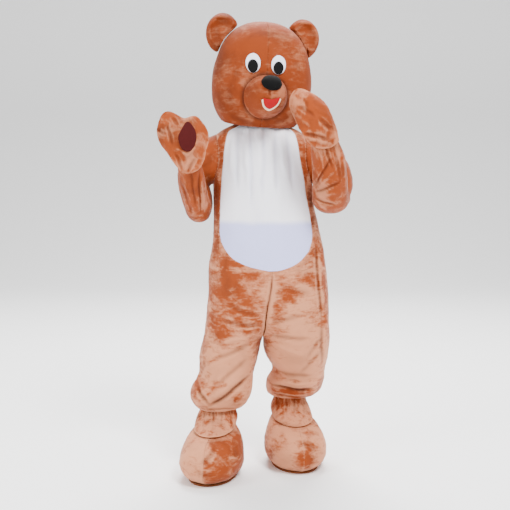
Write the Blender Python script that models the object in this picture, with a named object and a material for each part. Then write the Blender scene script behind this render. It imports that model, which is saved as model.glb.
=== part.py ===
"""Bear costume as it is worn: a plush jumpsuit with a gathered white belly panel, a big round head,
two mitts and two boot covers. Every piece is a hollow wall of cloth, open at the neck, armholes,
cuffs and hems. Heights in the tables are above the floor; the frame's origin is between the shoulders.
+Z is up, and the bear looks along -Y. "Right" is the bear's own right, at -X.
"""

import math
from collections import namedtuple

import bmesh
import bpy
from mathutils import Euler, Vector

# Driving sizes, in metres
SHOULDERS = 1.400  # height above the floor of the shoulder line, where the wearer carries it
PLUSH = 0.0025  # thickness of the pile cloth
FELT = 0.0016  # thickness of felt pieces
HEAD_WALL = 0.0045  # pile cloth on its thin foam
SEAM = 0.0003  # gap between pieces that are sewn together
RIGHT, LEFT = -1, 1
FRONT, BEHIND = 1, -1

# Steps used when a surface's own direction is worked out
NEAR = 0.0015
EDGE = 0.004
MERGE = 0.00001

PALETTE = {
    "tan_plush": ((0.50, 0.20, 0.075), 0.75),
    "white_plush": ((0.80, 0.80, 0.86), 0.80),
    "brown_felt": ((0.09, 0.012, 0.01), 0.85),
    "black_felt": ((0.008, 0.008, 0.009), 0.55),
    "white_felt": ((0.85, 0.85, 0.88), 0.80),
    "red_felt": ((0.60, 0.015, 0.02), 0.80),
    "cream_felt": ((0.80, 0.70, 0.55), 0.80),
    "sole_cloth": ((0.30, 0.13, 0.06), 0.85),
    "zip_tape": ((0.30, 0.13, 0.055), 0.70),
}

# A fold is a ridge (depth over 0) or a trough, drawn as a straight line in one view of the costume.
# Each view: its across direction, the direction it faces, and how far forward it starts to reach
Fold = namedtuple("Fold", "view across0 height0 across1 height1 width depth")
VIEWS = {
    "front": (Vector((1, 0, 0)), Vector((0, -1, 0)), -1.0),
    "forearm": (Vector((1, 0, 0)), Vector((0, -1, 0)), 0.095),
    "back": (Vector((1, 0, 0)), Vector((0, 1, 0)), -1.0),
    "right": (Vector((0, 1, 0)), Vector((-1, 0, 0)), 0.0),
    "right_arm": (Vector((0, 1, 0)), Vector((-1, 0, 0)), 0.262),
    "left": (Vector((0, 1, 0)), Vector((1, 0, 0)), 0.0),
    "left_arm": (Vector((0, 1, 0)), Vector((1, 0, 0)), 0.262),
}

# ------------------------------------------------------------------ the jumpsuit's tables

# Rings of the body from the neckline to the crotch: the two sides, the centre seam, and how deep
Ring = namedtuple("Ring", "height right centre left middle front back")
TORSO = [
    Ring(1.474, -0.092, -0.004, 0.084, 0.018, 0.074, 0.092),  # neckline, inside the head
    Ring(1.446, -0.098, -0.004, 0.088, 0.016, 0.078, 0.100),
    Ring(1.430, -0.140, -0.005, 0.104, 0.012, 0.082, 0.118),  # top of the shoulders
    Ring(1.400, -0.192, -0.005, 0.166, 0.006, 0.108, 0.142),
    Ring(1.350, -0.207, -0.003, 0.197, 0.002, 0.146, 0.156),
    Ring(1.250, -0.209, 0.001, 0.203, 0.000, 0.166, 0.168),
    Ring(1.150, -0.208, 0.008, 0.206, 0.000, 0.176, 0.176),
    Ring(1.050, -0.206, 0.020, 0.224, 0.000, 0.188, 0.180),
    Ring(0.950, -0.209, 0.034, 0.248, 0.000, 0.197, 0.184),
    Ring(0.846, -0.226, 0.040, 0.266, 0.000, 0.196, 0.188),  # lowest point of the belly panel
    Ring(0.720, -0.231, 0.024, 0.277, 0.002, 0.182, 0.188),  # the crotch seam starts to turn under
    Ring(0.550, -0.247, 0.000, 0.284, 0.004, 0.150, 0.172),  # crotch
]
CROTCH_START = len(TORSO) - 2
# Rings of each leg below the crotch, down to the elastic hem that is drawn in over the ankle
Leg = namedtuple("Leg", "height outer inner middle front back")
LEGS = {
    RIGHT: [
        Leg(0.470, -0.270, -0.018, -0.006, 0.136, 0.150),
        Leg(0.400, -0.266, -0.040, -0.022, 0.124, 0.132),
        Leg(0.345, -0.300, -0.040, -0.036, 0.130, 0.134),
        Leg(0.298, -0.306, -0.052, -0.042, 0.126, 0.128),
        Leg(0.262, -0.286, -0.080, -0.044, 0.106, 0.108),
        Leg(0.256, -0.270, -0.102, -0.045, 0.088, 0.088),
    ],
    LEFT: [
        Leg(0.470, 0.279, 0.008, 0.026, 0.136, 0.150),
        Leg(0.405, 0.268, 0.046, 0.058, 0.118, 0.130),
        Leg(0.365, 0.268, 0.024, 0.080, 0.124, 0.126),
        Leg(0.320, 0.261, 0.012, 0.104, 0.122, 0.120),
        Leg(0.280, 0.244, 0.022, 0.120, 0.104, 0.102),
        Leg(0.272, 0.206, 0.034, 0.124, 0.087, 0.087),
    ],
}
# Heights where the body's rows of points lie above the crotch; the belly panel shares them
ARMHOLE_TOP, ARMHOLE_BOTTOM, ARMHOLE_DEPTH = 1.398, 1.190, 0.078
BELLY_BOTTOM, BELLY_TURN = 0.846, 0.985
BODY_HEIGHTS = [
    1.474, 1.446, 1.431, 1.416, ARMHOLE_TOP, 1.383, 1.345, 1.294, 1.243, 1.206, ARMHOLE_BOTTOM,
    1.120, 1.050, BELLY_TURN, 0.930, 0.890, 0.866, 0.852, BELLY_BOTTOM, BELLY_BOTTOM - 0.0006, 0.790, 0.720,
]  # fmt: skip
CROTCH_STEPS = 5
LEG_STEPS = 2
# The belly panel's two edges above the point where its outline turns round
Belly = namedtuple("Belly", "height right left")
BELLY = [
    Belly(1.474, -0.056, 0.046),
    Belly(1.430, -0.104, 0.078),
    Belly(1.400, -0.146, 0.128),
    Belly(1.250, -0.166, 0.158),
    Belly(1.100, -0.176, 0.184),
    Belly(BELLY_TURN, -0.180, 0.206),
]
BELLY_TIP = 0.018  # half-width of the panel's lowest edge
ZIP_HALF, ZIP_TOP, ZIP_END = 0.0060, 1.446, 0.790

BODY_FOLDS = [
    # gathers of the belly panel under the neckline
    Fold("front", -0.118, 1.42, -0.122, 1.31, 0.010, 0.004),
    Fold("front", -0.083, 1.42, -0.085, 1.17, 0.009, -0.008),
    Fold("front", -0.060, 1.42, -0.058, 1.24, 0.009, 0.005),
    Fold("front", -0.034, 1.42, -0.034, 1.24, 0.008, -0.005),
    Fold("front", -0.012, 1.42, -0.010, 1.20, 0.009, 0.006),
    Fold("front", 0.012, 1.42, 0.014, 1.23, 0.008, -0.005),
    Fold("front", 0.034, 1.42, 0.040, 1.20, 0.009, 0.006),
    Fold("front", 0.058, 1.42, 0.066, 1.22, 0.008, -0.005),
    Fold("front", 0.082, 1.42, 0.098, 1.22, 0.009, 0.005),
    Fold("front", 0.106, 1.40, 0.128, 1.14, 0.008, -0.004),
    # centre-front seam, drawn in a little, and the drag lines beside it
    Fold("front", 0.033, 0.80, 0.000, 0.57, 0.012, -0.005),
    Fold("front", 0.062, 0.80, 0.030, 0.62, 0.012, 0.004),
    Fold("front", -0.150, 0.66, 0.000, 0.70, 0.016, 0.004),
    Fold("front", -0.215, 0.595, -0.080, 0.625, 0.014, 0.004),
    Fold("front", 0.030, 0.765, 0.190, 0.790, 0.014, 0.004),
    Fold("front", 0.010, 0.650, 0.170, 0.670, 0.016, -0.004),
    # side seam and the hollow beside it
    Fold("front", 0.205, 0.92, 0.238, 0.60, 0.014, -0.010),
    Fold("front", 0.240, 0.92, 0.262, 0.60, 0.014, 0.006),
    Fold("back", 0.205, 0.92, 0.238, 0.60, 0.016, -0.006),
    # right leg: slack over the knee and the blouse above the hem
    Fold("front", -0.190, 0.56, -0.235, 0.40, 0.018, -0.008),
    Fold("front", -0.020, 0.52, -0.110, 0.43, 0.013, -0.008),
    Fold("front", -0.290, 0.385, -0.205, 0.300, 0.016, -0.012),
    Fold("front", -0.050, 0.375, -0.190, 0.285, 0.011, -0.012),
    Fold("front", -0.060, 0.400, -0.170, 0.320, 0.011, 0.007),
    Fold("back", -0.285, 0.360, -0.120, 0.330, 0.016, -0.010),
    Fold("back", -0.230, 0.480, -0.090, 0.430, 0.018, -0.007),
    # left leg
    Fold("front", 0.060, 0.405, 0.145, 0.365, 0.016, -0.010),
    Fold("front", 0.030, 0.335, 0.200, 0.325, 0.009, 0.006),
    Fold("front", 0.070, 0.300, 0.230, 0.330, 0.010, -0.008),
    Fold("back", 0.060, 0.420, 0.220, 0.370, 0.018, -0.009),
    # back of the body
    Fold("back", -0.150, 1.00, 0.150, 0.96, 0.022, -0.006),
    Fold("back", -0.120, 0.88, 0.160, 0.90, 0.022, 0.005),
    Fold("back", -0.170, 0.70, 0.000, 0.62, 0.022, -0.007),
    Fold("back", 0.180, 0.70, 0.010, 0.62, 0.022, -0.007),
]

# ------------------------------------------------------------------ tables and folds at work


def between(rows, place):
    """The row at a place along a table: whole numbers are its own rows, joined by a smooth curve."""
    last = len(rows) - 1
    place = min(max(place, 0.0), float(last))
    start = min(int(place), last - 1)
    share = place - start
    near = [rows[min(max(start + step, 0), last)] for step in (-1, 0, 1, 2)]
    return type(near[0])(*(curve_through(*four, share) for four in zip(*near)))


def curve_through(before, start, end, after, share):
    """Catmull-Rom curve from start to end."""
    slope_in, slope_out = (end - before) / 2, (after - start) / 2
    square, cube = share**2, share**3
    return (
        (2 * cube - 3 * square + 1) * start
        + (cube - 2 * square + share) * slope_in
        + (3 * square - 2 * cube) * end
        + (cube - square) * slope_out
    )


def place_of_height(rows, height):
    """Where along a table of falling heights a height lies."""
    low, high = 0.0, float(len(rows) - 1)
    for _ in range(40):
        middle = (low + high) / 2
        if between(rows, middle).height > height:
            low = middle
        else:
            high = middle
    return (low + high) / 2


def picked(values, share):
    """The value at a share from 0 to 1 along a list, straight between its entries."""
    place = min(max(share, 0.0), 1.0) * (len(values) - 1)
    start = min(int(place), len(values) - 2)
    return values[start] + (values[start + 1] - values[start]) * (place - start)


def eased(share):
    share = min(max(share, 0.0), 1.0)
    return share * share * (3 - 2 * share)


def fold_height(point, normal, folds):
    """How far the folds lift a point off the smooth surface."""
    lift = 0.0
    for fold in folds:
        across, facing, reach = VIEWS[fold.view]
        seen = normal.dot(facing) * eased((point.dot(facing) - reach) / 0.03)
        if seen <= 0:
            continue
        start = Vector((fold.across0, fold.height0))
        line = Vector((fold.across1, fold.height1)) - start
        offset = Vector((point.dot(across), point.z)) - start
        along = offset.dot(line) / line.length_squared
        away = (offset - line * min(max(along, 0.0), 1.0)).length / fold.width
        if away > 3:
            continue
        taper = eased(4 * min(along, 1 - along) + 1) if -0.25 < along < 1.25 else 0.0
        lift += fold.depth * math.exp(-away * away) * taper * eased(seen * 2.5)
    return lift


def direction_at(surface, u, v, outward):
    """Unit normal of surface(u, v), taken just inside its edges so that corners have one too."""
    u = min(max(u, EDGE), 1 - EDGE)
    v = min(max(v, EDGE), 1 - EDGE)
    along_u = surface(u + NEAR, v) - surface(u - NEAR, v)
    along_v = surface(u, v + NEAR) - surface(u, v - NEAR)
    return along_u.cross(along_v).normalized() * outward


def folded(surface, folds, outward):
    """The surface with folds raised on it."""
    if not folds:
        return surface

    def with_folds(u, v):
        normal = direction_at(surface, u, v, outward)
        point = surface(u, v)
        return point + normal * fold_height(point, normal, folds)

    return with_folds


# ------------------------------------------------------------------ making the pieces


def clear_scene():
    for old in list(bpy.data.objects):
        bpy.data.objects.remove(old)


def material(name):
    colour, roughness = PALETTE[name]
    made = bpy.data.materials.get(name) or bpy.data.materials.new(name)
    made.use_nodes = True
    shader = made.node_tree.nodes["Principled BSDF"]
    shader.inputs["Base Color"].default_value = (*colour, 1)
    shader.inputs["Roughness"].default_value = roughness
    shader.inputs["Metallic"].default_value = 0.0
    return made


def holder(name, parent=None, place=(0, 0, 0), turn=(0, 0, 0)):
    """An empty that carries a group of pieces; turn is in degrees."""
    empty = bpy.data.objects.new(name, None)
    empty.location = place
    empty.rotation_euler = Euler([math.radians(angle) for angle in turn])
    empty.parent = parent
    COSTUME.objects.link(empty)
    return empty


def finished(bm, name, cloth, parent):
    """Turns a bmesh into a named piece, shaded smooth."""
    bmesh.ops.remove_doubles(bm, verts=bm.verts, dist=MERGE)
    bmesh.ops.recalc_face_normals(bm, faces=bm.faces)
    mesh = bpy.data.meshes.new(name)
    bm.to_mesh(mesh)
    bm.free()
    mesh.shade_smooth()
    mesh.set_sharp_from_angle(angle=math.radians(50))
    mesh.materials.append(material(cloth))
    piece = bpy.data.objects.new(name, mesh)
    piece.parent = parent
    COSTUME.objects.link(piece)
    return piece


def is_level(face):
    heights = [vert.co.z for vert in face.verts]
    return max(heights) - min(heights) < 0.5


def cloth_wall(name, surface, columns, rows, wall, cloth, parent, outward=1, lifted=0.0, lining=None):
    """Wraps a flat slab of columns by rows onto surface(u, v), with the wall growing inwards from it.

    lifted moves the piece out from the surface, for what lies on another panel. Where two pieces meet
    rim to rim, lining(u, v) is the inner face instead.
    """
    bm = bmesh.new()
    bmesh.ops.create_grid(bm, x_segments=columns, y_segments=rows, size=0.5)
    bmesh.ops.solidify(bm, geom=bm.faces[:], thickness=1.0)
    for corner in [vert for vert in bm.verts if len(vert.link_edges) == 3]:
        near = [edge.other_vert(corner) for edge in corner.link_edges]
        face = next(face for face in corner.link_faces if is_level(face))
        if len(face.verts) == 4:
            far = next(vert for vert in face.verts if vert != corner and vert not in near)
            bmesh.utils.face_split(face, corner, far)
    top = max(vert.co.z for vert in bm.verts)
    for vert in bm.verts:
        u, v = vert.co.x + 0.5, vert.co.y + 0.5
        inside = top - vert.co.z > 0.5
        if lining:
            vert.co = lining(u, v) if inside else surface(u, v)
        else:
            depth = lifted - (wall if inside else 0.0)
            vert.co = surface(u, v) + direction_at(surface, u, v, outward) * depth
    return finished(bm, name, cloth, parent)


# ------------------------------------------------------------------ jumpsuit body


def body_rows(side):
    """The torso's rings seen from one side, and those of its leg, which start at the crotch."""
    upper = [
        Leg(ring.height, ring.right if side == RIGHT else ring.left, ring.centre + side * SEAM / 2,
            ring.middle, ring.front, ring.back)
        for ring in TORSO
    ]  # fmt: skip
    return upper, upper[-1:] + LEGS[side]


def body_row(side, run):
    """The ring at a place along the torso's table and on down the leg's."""
    upper, lower = BODY_ROWS[side]
    return between(upper, run) if run <= CROTCH_START + 1 else between(lower, run - CROTCH_START - 1)


def body_point(side, share, run):
    """A point of the suit: share is 0 at the side seam, 1 at the centre-front seam or the inseam, and
    -1 the same behind; run counts the rows of the tables. Between the last two torso rings the section
    grows from half an oval, cut at the centre, into the whole oval of a leg, as a crotch seam does."""
    turned = min(max(run - CROTCH_START, 0.0), 1.0)
    sweep = math.radians(90 + 90 * turned)
    if 0 < turned < 1:
        dip = share * share
        run = CROTCH_START + (1 - dip) * turned + dip * math.sin(turned * math.pi / 2)
    row = body_row(side, run)
    turn = abs(share) * sweep
    reach = (row.inner - row.outer) / (1 - math.cos(sweep))
    depth = row.front if share > 0 else row.back
    across = row.outer + reach * (1 - math.cos(turn))
    return Vector((across, row.middle - math.copysign(depth, share) * math.sin(turn), row.height))


def share_at(side, run, across):
    """The share of the way from the side seam at which a torso ring reaches a given x."""
    row = body_row(side, run)
    ratio = (across - row.outer) / (row.inner - row.outer)
    return math.degrees(math.acos(min(max(1 - ratio, -1.0), 1.0))) / 90


def belly_edge(side, height):
    """x of the belly panel's edge: its table above, half an oval where the outline turns round."""
    place = place_of_height(BELLY, max(height, BELLY_TURN))
    row = between(BELLY, place)
    across = row.right if side == RIGHT else row.left
    if height >= BELLY_TURN:
        return across
    centre = between(TORSO, place_of_height(TORSO, height)).centre
    down = (BELLY_TURN - height) / (BELLY_TURN - BELLY_BOTTOM)
    across_share = math.sqrt(max(1 - min(down, 1.0) ** 2, 0.0))
    return centre + side * max(abs(across - centre) * across_share, BELLY_TIP)


def armhole_half(height):
    """Half the armhole's depth at a height, 0 above and below it."""
    middle, half = (ARMHOLE_TOP + ARMHOLE_BOTTOM) / 2, (ARMHOLE_TOP - ARMHOLE_BOTTOM) / 2
    return ARMHOLE_DEPTH * math.sqrt(max(1 - ((height - middle) / half) ** 2, 0.0))


def panel_ends(side, face, run):
    """Where a front (1) or back (-1) panel starts and ends on a ring, as shares."""
    row = body_row(side, min(run, CROTCH_START))
    depth = row.front if face == FRONT else row.back
    seam = SEAM / 2 / (depth * math.pi / 2)
    start, end = seam, 1 - seam
    if run > CROTCH_START:
        return start, end
    start += math.degrees(math.asin(min(armhole_half(row.height) / depth, 1.0))) / 90
    if face == FRONT and row.height >= BELLY_BOTTOM - SEAM:
        end = share_at(side, run, belly_edge(side, row.height)) - seam
    if face == BEHIND and ZIP_END - SEAM <= row.height <= ZIP_TOP + SEAM:
        end = share_at(side, run, row.inner + side * (ZIP_HALF + 2 * SEAM))
    return start, end


def body_runs():
    """Every row of points down the suit."""
    runs = [place_of_height(TORSO, height) for height in BODY_HEIGHTS[:-1]]
    runs[0] = 0.0
    runs += [CROTCH_START + step / CROTCH_STEPS for step in range(CROTCH_STEPS + 1)]
    legs = len(LEGS[RIGHT]) * LEG_STEPS
    return runs + [CROTCH_START + 1 + (step + 1) / LEG_STEPS for step in range(legs)]


def body_panel(side, face, columns):
    """A front or back panel, from the neckline to the ankle, with its armhole, and belly or zip edge."""
    name = ("front_" if face == FRONT else "back_") + ("right" if side == RIGHT else "left")
    outward = 1 if side * face == RIGHT else -1

    def surface(u, v):
        run = picked(BODY_RUNS, v)
        start, end = panel_ends(side, face, run)
        return body_point(side, face * (start + u * (end - start)), run)

    surface = folded(surface, BODY_FOLDS, -outward)
    cloth_wall(name, surface, columns, len(BODY_RUNS) - 1, PLUSH, "tan_plush", SUIT, -outward)


def belly_panel(columns):
    """The white panel, gathered at the neckline, let into the two fronts."""
    runs = BODY_RUNS[: BODY_HEIGHTS.index(BELLY_BOTTOM)]
    runs.append(place_of_height(TORSO, BELLY_BOTTOM + 0.0006))

    def surface(u, v):
        run = picked(runs, v)
        row = between(TORSO, run)
        right, left = (belly_edge(side, row.height) - side * SEAM / 2 for side in (RIGHT, LEFT))
        across = right + u * (left - right)
        side = RIGHT if across < row.centre else LEFT
        share = share_at(side, run, across)
        return body_point(side, share, run)

    surface = folded(surface, BODY_FOLDS, -1)
    cloth_wall("belly", surface, columns, len(runs) - 1, PLUSH, "white_plush", SUIT, -1)


def back_zip():
    """The closure down the centre back: a strip of tape and coil between the two back panels."""
    runs = [run for run in BODY_RUNS if run <= place_of_height(TORSO, ZIP_END) + 0.01][1:]

    def surface(u, v):
        run = picked(runs, v)
        row = between(TORSO, run)
        across = row.centre + (2 * u - 1) * ZIP_HALF
        side = RIGHT if across < row.centre else LEFT
        return body_point(side, -share_at(side, run, across), run)

    surface = folded(surface, BODY_FOLDS, 1)
    cloth_wall("back_zip", surface, 2, len(runs) - 1, PLUSH, "zip_tape", SUIT, 1)


# ------------------------------------------------------------------ sleeves

# Rings of a sleeve. Each is an oval: x of its centre, half its width, how far its width leans over
# (0 = upright, as at the armhole, 90 = level), and its back and front ends seen from the side
Cuff = namedtuple("Cuff", "x wide lean back_y back_z front_y front_z")
SLEEVES = {
    RIGHT: [
        Cuff(-0.2635, 0.094, 30, 0.080, 1.2714, -0.080, 1.2714),
        Cuff(-0.2900, 0.078, 60, 0.078, 1.2220, -0.080, 1.2220),
        Cuff(-0.2865, 0.064, 87, 0.076, 1.170, -0.080, 1.190),
        Cuff(-0.2800, 0.068, 90, 0.075, 1.115, -0.075, 1.176),
        Cuff(-0.2750, 0.065, 90, 0.056, 1.060, -0.071, 1.163),  # elbow
        Cuff(-0.2670, 0.058, 90, 0.008, 1.027, -0.073, 1.154),
        Cuff(-0.2660, 0.054, 90, -0.048, 1.030, -0.080, 1.156),
        Cuff(-0.2700, 0.053, 90, -0.105, 1.068, -0.087, 1.170),
        Cuff(-0.2780, 0.054, 90, -0.158, 1.118, -0.095, 1.197),
        Cuff(-0.2850, 0.054, 90, -0.204, 1.170, -0.118, 1.234),
        Cuff(-0.2900, 0.051, 90, -0.236, 1.215, -0.150, 1.274),
        Cuff(-0.2925, 0.046, 90, -0.257, 1.252, -0.188, 1.300),
        Cuff(-0.2940, 0.040, 90, -0.268, 1.284, -0.222, 1.316),
    ],
    LEFT: [
        Cuff(0.2610, 0.094, 30, 0.080, 1.2714, -0.080, 1.2714),
        Cuff(0.2925, 0.082, 60, 0.076, 1.2240, -0.086, 1.2240),
        Cuff(0.2983, 0.076, 86, 0.066, 1.170, -0.094, 1.188),
        Cuff(0.2900, 0.079, 90, 0.046, 1.128, -0.108, 1.184),
        Cuff(0.2840, 0.079, 90, 0.010, 1.088, -0.117, 1.182),  # elbow
        Cuff(0.2780, 0.077, 90, -0.060, 1.066, -0.121, 1.180),
        Cuff(0.2720, 0.074, 90, -0.140, 1.076, -0.125, 1.183),
        Cuff(0.2690, 0.071, 90, -0.205, 1.118, -0.131, 1.194),
        Cuff(0.2660, 0.069, 90, -0.252, 1.178, -0.141, 1.221),
        Cuff(0.2620, 0.068, 90, -0.284, 1.245, -0.158, 1.268),
        Cuff(0.2520, 0.065, 90, -0.306, 1.310, -0.184, 1.318),
        Cuff(0.2380, 0.050, 90, -0.318, 1.366, -0.236, 1.368),
        Cuff(0.2340, 0.044, 90, -0.318, 1.384, -0.250, 1.386),
    ],
}
SLEEVE_STEPS = 1.4
SLEEVE_FOLDS = [
    # left elbow: a fan of creases out of the bend, and slack along the forearm
    Fold("forearm", 0.196, 1.205, 0.240, 1.115, 0.009, -0.009),
    Fold("forearm", 0.214, 1.200, 0.252, 1.110, 0.008, 0.006),
    Fold("forearm", 0.228, 1.195, 0.262, 1.118, 0.008, -0.008),
    Fold("forearm", 0.262, 1.360, 0.272, 1.240, 0.014, -0.005),
    Fold("forearm", 0.300, 1.300, 0.312, 1.130, 0.014, 0.005),
    Fold("left_arm", -0.140, 1.220, 0.020, 1.090, 0.016, -0.007),
    Fold("left_arm", -0.110, 1.240, 0.050, 1.140, 0.014, 0.005),
    # right forearm: the seam stands up in a ridge, with a hollow beside it
    Fold("forearm", -0.240, 1.225, -0.244, 1.075, 0.009, 0.007),
    Fold("forearm", -0.310, 1.210, -0.300, 1.090, 0.014, -0.006),
    Fold("front", -0.275, 1.060, -0.235, 1.080, 0.012, -0.006),
    Fold("right_arm", -0.060, 1.200, 0.040, 1.060, 0.016, -0.008),
    Fold("right_arm", -0.040, 1.240, 0.060, 1.140, 0.014, 0.005),
    # backs of both elbows
    Fold("back", -0.310, 1.130, -0.235, 1.150, 0.016, -0.006),
    Fold("back", 0.240, 1.160, 0.330, 1.140, 0.016, -0.006),
]


def armhole_point(side, turn):
    """A point of the armhole's edge, drawn in by the seam, at an angle from its top towards the front."""
    middle, half = (ARMHOLE_TOP + ARMHOLE_BOTTOM) / 2, (ARMHOLE_TOP - ARMHOLE_BOTTOM) / 2
    height = middle + (half - SEAM) * math.cos(turn)
    row = body_row(side, place_of_height(TORSO, height))
    across = (ARMHOLE_DEPTH - SEAM) * math.sin(turn)
    depth = row.front if across > 0 else row.back
    bend = 1 - math.sqrt(1 - (across / depth) ** 2)
    return Vector((row.outer + (row.inner - row.outer) * bend + side * SEAM, row.middle - across, height))


def sleeve_point(side, turn, run):
    """A point of a sleeve: turn goes round from its top seam over the front; run counts the rings."""
    row = between(SLEEVES[side], max(run - 1, 0))
    lean = math.radians(row.lean)
    wide = Vector((side * math.sin(lean), 0, math.cos(lean))) * row.wide
    back, front = Vector((row.x, row.back_y, row.back_z)), Vector((row.x, row.front_y, row.front_z))
    point = (back + front) / 2 + wide * math.cos(turn) + (front - back) / 2 * math.sin(turn)
    if run < 1:
        point = armhole_point(side, turn).lerp(point, run)
    return point


def sleeve_half(side, face, columns=6):
    """Half a sleeve, front or back, from the armhole to its end inside the mitt."""
    heights = BODY_HEIGHTS[BODY_HEIGHTS.index(ARMHOLE_TOP) : BODY_HEIGHTS.index(ARMHOLE_BOTTOM) + 1]
    middle, half = (ARMHOLE_TOP + ARMHOLE_BOTTOM) / 2, (ARMHOLE_TOP - ARMHOLE_BOTTOM) / 2
    armhole_turns = [math.acos(min(max((height - middle) / half, -1), 1)) for height in heights]
    last = len(SLEEVES[side])

    def surface(u, v):
        run = v * last
        even = math.pi * u
        turn = picked(armhole_turns, u)
        turn += (even - turn) * eased(run / 3)
        seam = SEAM / 2 / 0.07
        turn = min(max(turn, seam), math.pi - seam)
        return sleeve_point(side, face * turn, run)

    outward = side * face
    surface = folded(surface, SLEEVE_FOLDS, outward)
    name = ("sleeve_front_" if face == FRONT else "sleeve_back_") + ("right" if side == RIGHT else "left")
    rows = round(last * SLEEVE_STEPS)
    cloth_wall(name, surface, columns, rows, PLUSH, "tan_plush", SUIT, outward)


# ------------------------------------------------------------------ rounds


def on_disc(u, v):
    """A point of the unit disc for a point of the unit square, without a pole."""
    across, up = 2 * u - 1, 2 * v - 1
    return across * math.sqrt(1 - up * up / 2), up * math.sqrt(1 - across * across / 2)


def spoke(spokes, turn):
    """The outline's radius at an angle in degrees, from a table of angle and radius that goes round."""
    turn %= 360
    count = len(spokes)
    start = max((index for index in range(count) if spokes[index].angle <= turn), default=count - 1)
    near = [spokes[(start + step) % count] for step in (-1, 0, 1, 2)]
    gap = (near[2].angle - near[1].angle) % 360
    share = ((turn - near[1].angle) % 360) / gap
    return curve_through(*(entry.radius for entry in near), share)


# ------------------------------------------------------------------ mitts

Spoke = namedtuple("Spoke", "angle radius")
# Mitts: where the middle is, how it is turned, and the outline seen from the front; the hem is the
# stretch of outline between the two hem angles, where the near and far pieces part for the arm
Mitt = namedtuple("Mitt", "place turn outline hem_start hem_end near far near_hem far_hem lift")
MITTS = {
    RIGHT: Mitt(
        (-0.312, -0.272, 1.362), (0, 0, 0),
        [
            Spoke(0, 0.100), Spoke(25, 0.104), Spoke(47, 0.105), Spoke(59, 0.112), Spoke(70, 0.106),
            Spoke(84, 0.088), Spoke(99, 0.100), Spoke(109, 0.120), Spoke(120, 0.137), Spoke(128, 0.135),
            Spoke(144, 0.120), Spoke(161, 0.108), Spoke(181, 0.094), Spoke(203, 0.082), Spoke(224, 0.078),
            Spoke(250, 0.095), Spoke(268, 0.120), Spoke(285, 0.128), Spoke(300, 0.124), Spoke(317, 0.110),
            Spoke(338, 0.096),
        ],
        212, 356, 0.030, 0.034, 0.012, 0.114, 0.50,
    ),
    LEFT: Mitt(
        (0.200, -0.288, 1.452), (0, 0, 0),
        [
            Spoke(16, 0.063), Spoke(40, 0.064), Spoke(57, 0.070), Spoke(75, 0.078), Spoke(92, 0.090),
            Spoke(103, 0.101), Spoke(109, 0.112), Spoke(116, 0.131), Spoke(127, 0.137), Spoke(140, 0.126),
            Spoke(154, 0.114), Spoke(168, 0.094), Spoke(184, 0.080), Spoke(209, 0.073), Spoke(235, 0.082),
            Spoke(255, 0.100), Spoke(275, 0.116), Spoke(298, 0.128), Spoke(314, 0.128), Spoke(326, 0.104),
            Spoke(343, 0.076),
        ],
        204, 342, 0.040, 0.040, 0.036, 0.080, 0.10,
    ),
}  # fmt: skip
MITT_FOLDS = {RIGHT: [], LEFT: []}
PAD_HALF = (0.035, 0.058)
PAD_PLACE = {RIGHT: (0.019, 0.016), LEFT: (-0.005, -0.006)}


def hem_share(mitt, turn):
    """1 at the hem, 0 round the closed outline, with a short slope between."""
    along, whole = (turn - mitt.hem_start) % 360, mitt.hem_end - mitt.hem_start
    return eased(min(along, whole - along) / 34) if along < whole else 0.0


def mitt_point(side, face, across, up, shrink=0.0):
    """A point of a mitt's near (1) or far (-1) piece; across and up run over the unit disc."""
    mitt = MITTS[side]
    out = math.hypot(across, up)
    turn = math.degrees(math.atan2(up, across))
    hem = hem_share(mitt, turn)
    radius = spoke(mitt.outline, turn) - shrink * (1 - hem)
    bulge, hem_bulge = (mitt.near, mitt.near_hem) if face == FRONT else (mitt.far, mitt.far_hem)
    if face == BEHIND:
        radius *= 1 - mitt.lift * hem * out
    body = (bulge - shrink) * math.sqrt(max(1 - out**2.4, 0.0))
    depth = body + ((hem_bulge - shrink) - body) * hem * out**1.2
    angle = math.radians(turn)
    radius *= out
    return Vector((radius * math.cos(angle), -face * (depth + SEAM / 2), radius * math.sin(angle)))


def make_mitt(side):
    mitt = MITTS[side]
    which = "right" if side == RIGHT else "left"
    frame = holder("mitt_" + which, STAND, mitt.place, mitt.turn)
    palm = FRONT if side == RIGHT else BEHIND
    for face in (FRONT, BEHIND):
        name = ("mitt_palm_" if face == palm else "mitt_back_") + which

        def surface(u, v, face=face, shrink=0.0):
            return mitt_point(side, face, *on_disc(u, v), shrink)

        def lining(u, v, surface=surface, face=face):
            across, up = on_disc(u, v)
            hem = hem_share(mitt, math.degrees(math.atan2(up, across)))
            rim = eased((math.hypot(across, up) - 0.70) / 0.30) * (1 - hem)
            inside = surface(u, v) - direction_at(surface, u, v, face) * PLUSH
            return inside.lerp(surface(u, v, shrink=PLUSH), rim)

        cloth_wall(name, surface, 9, 9, PLUSH, "tan_plush", frame, face, lining=lining)

    place = PAD_PLACE[side]

    def pad(u, v):
        across, up = on_disc(u, v)
        across *= 1 - 0.42 * max(up, 0) ** 1.5
        x, z = place[0] + across * PAD_HALF[0], place[1] + up * PAD_HALF[1]
        turn = math.degrees(math.atan2(z, x))
        out = math.hypot(x, z) / spoke(mitt.outline, turn)
        angle = math.radians(turn)
        return mitt_point(side, palm, out * math.cos(angle), out * math.sin(angle))

    cloth_wall("paw_pad_" + which, pad, 5, 6, FELT, "brown_felt", frame, palm, lifted=FELT + 0.0034)


# ------------------------------------------------------------------ head

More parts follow.
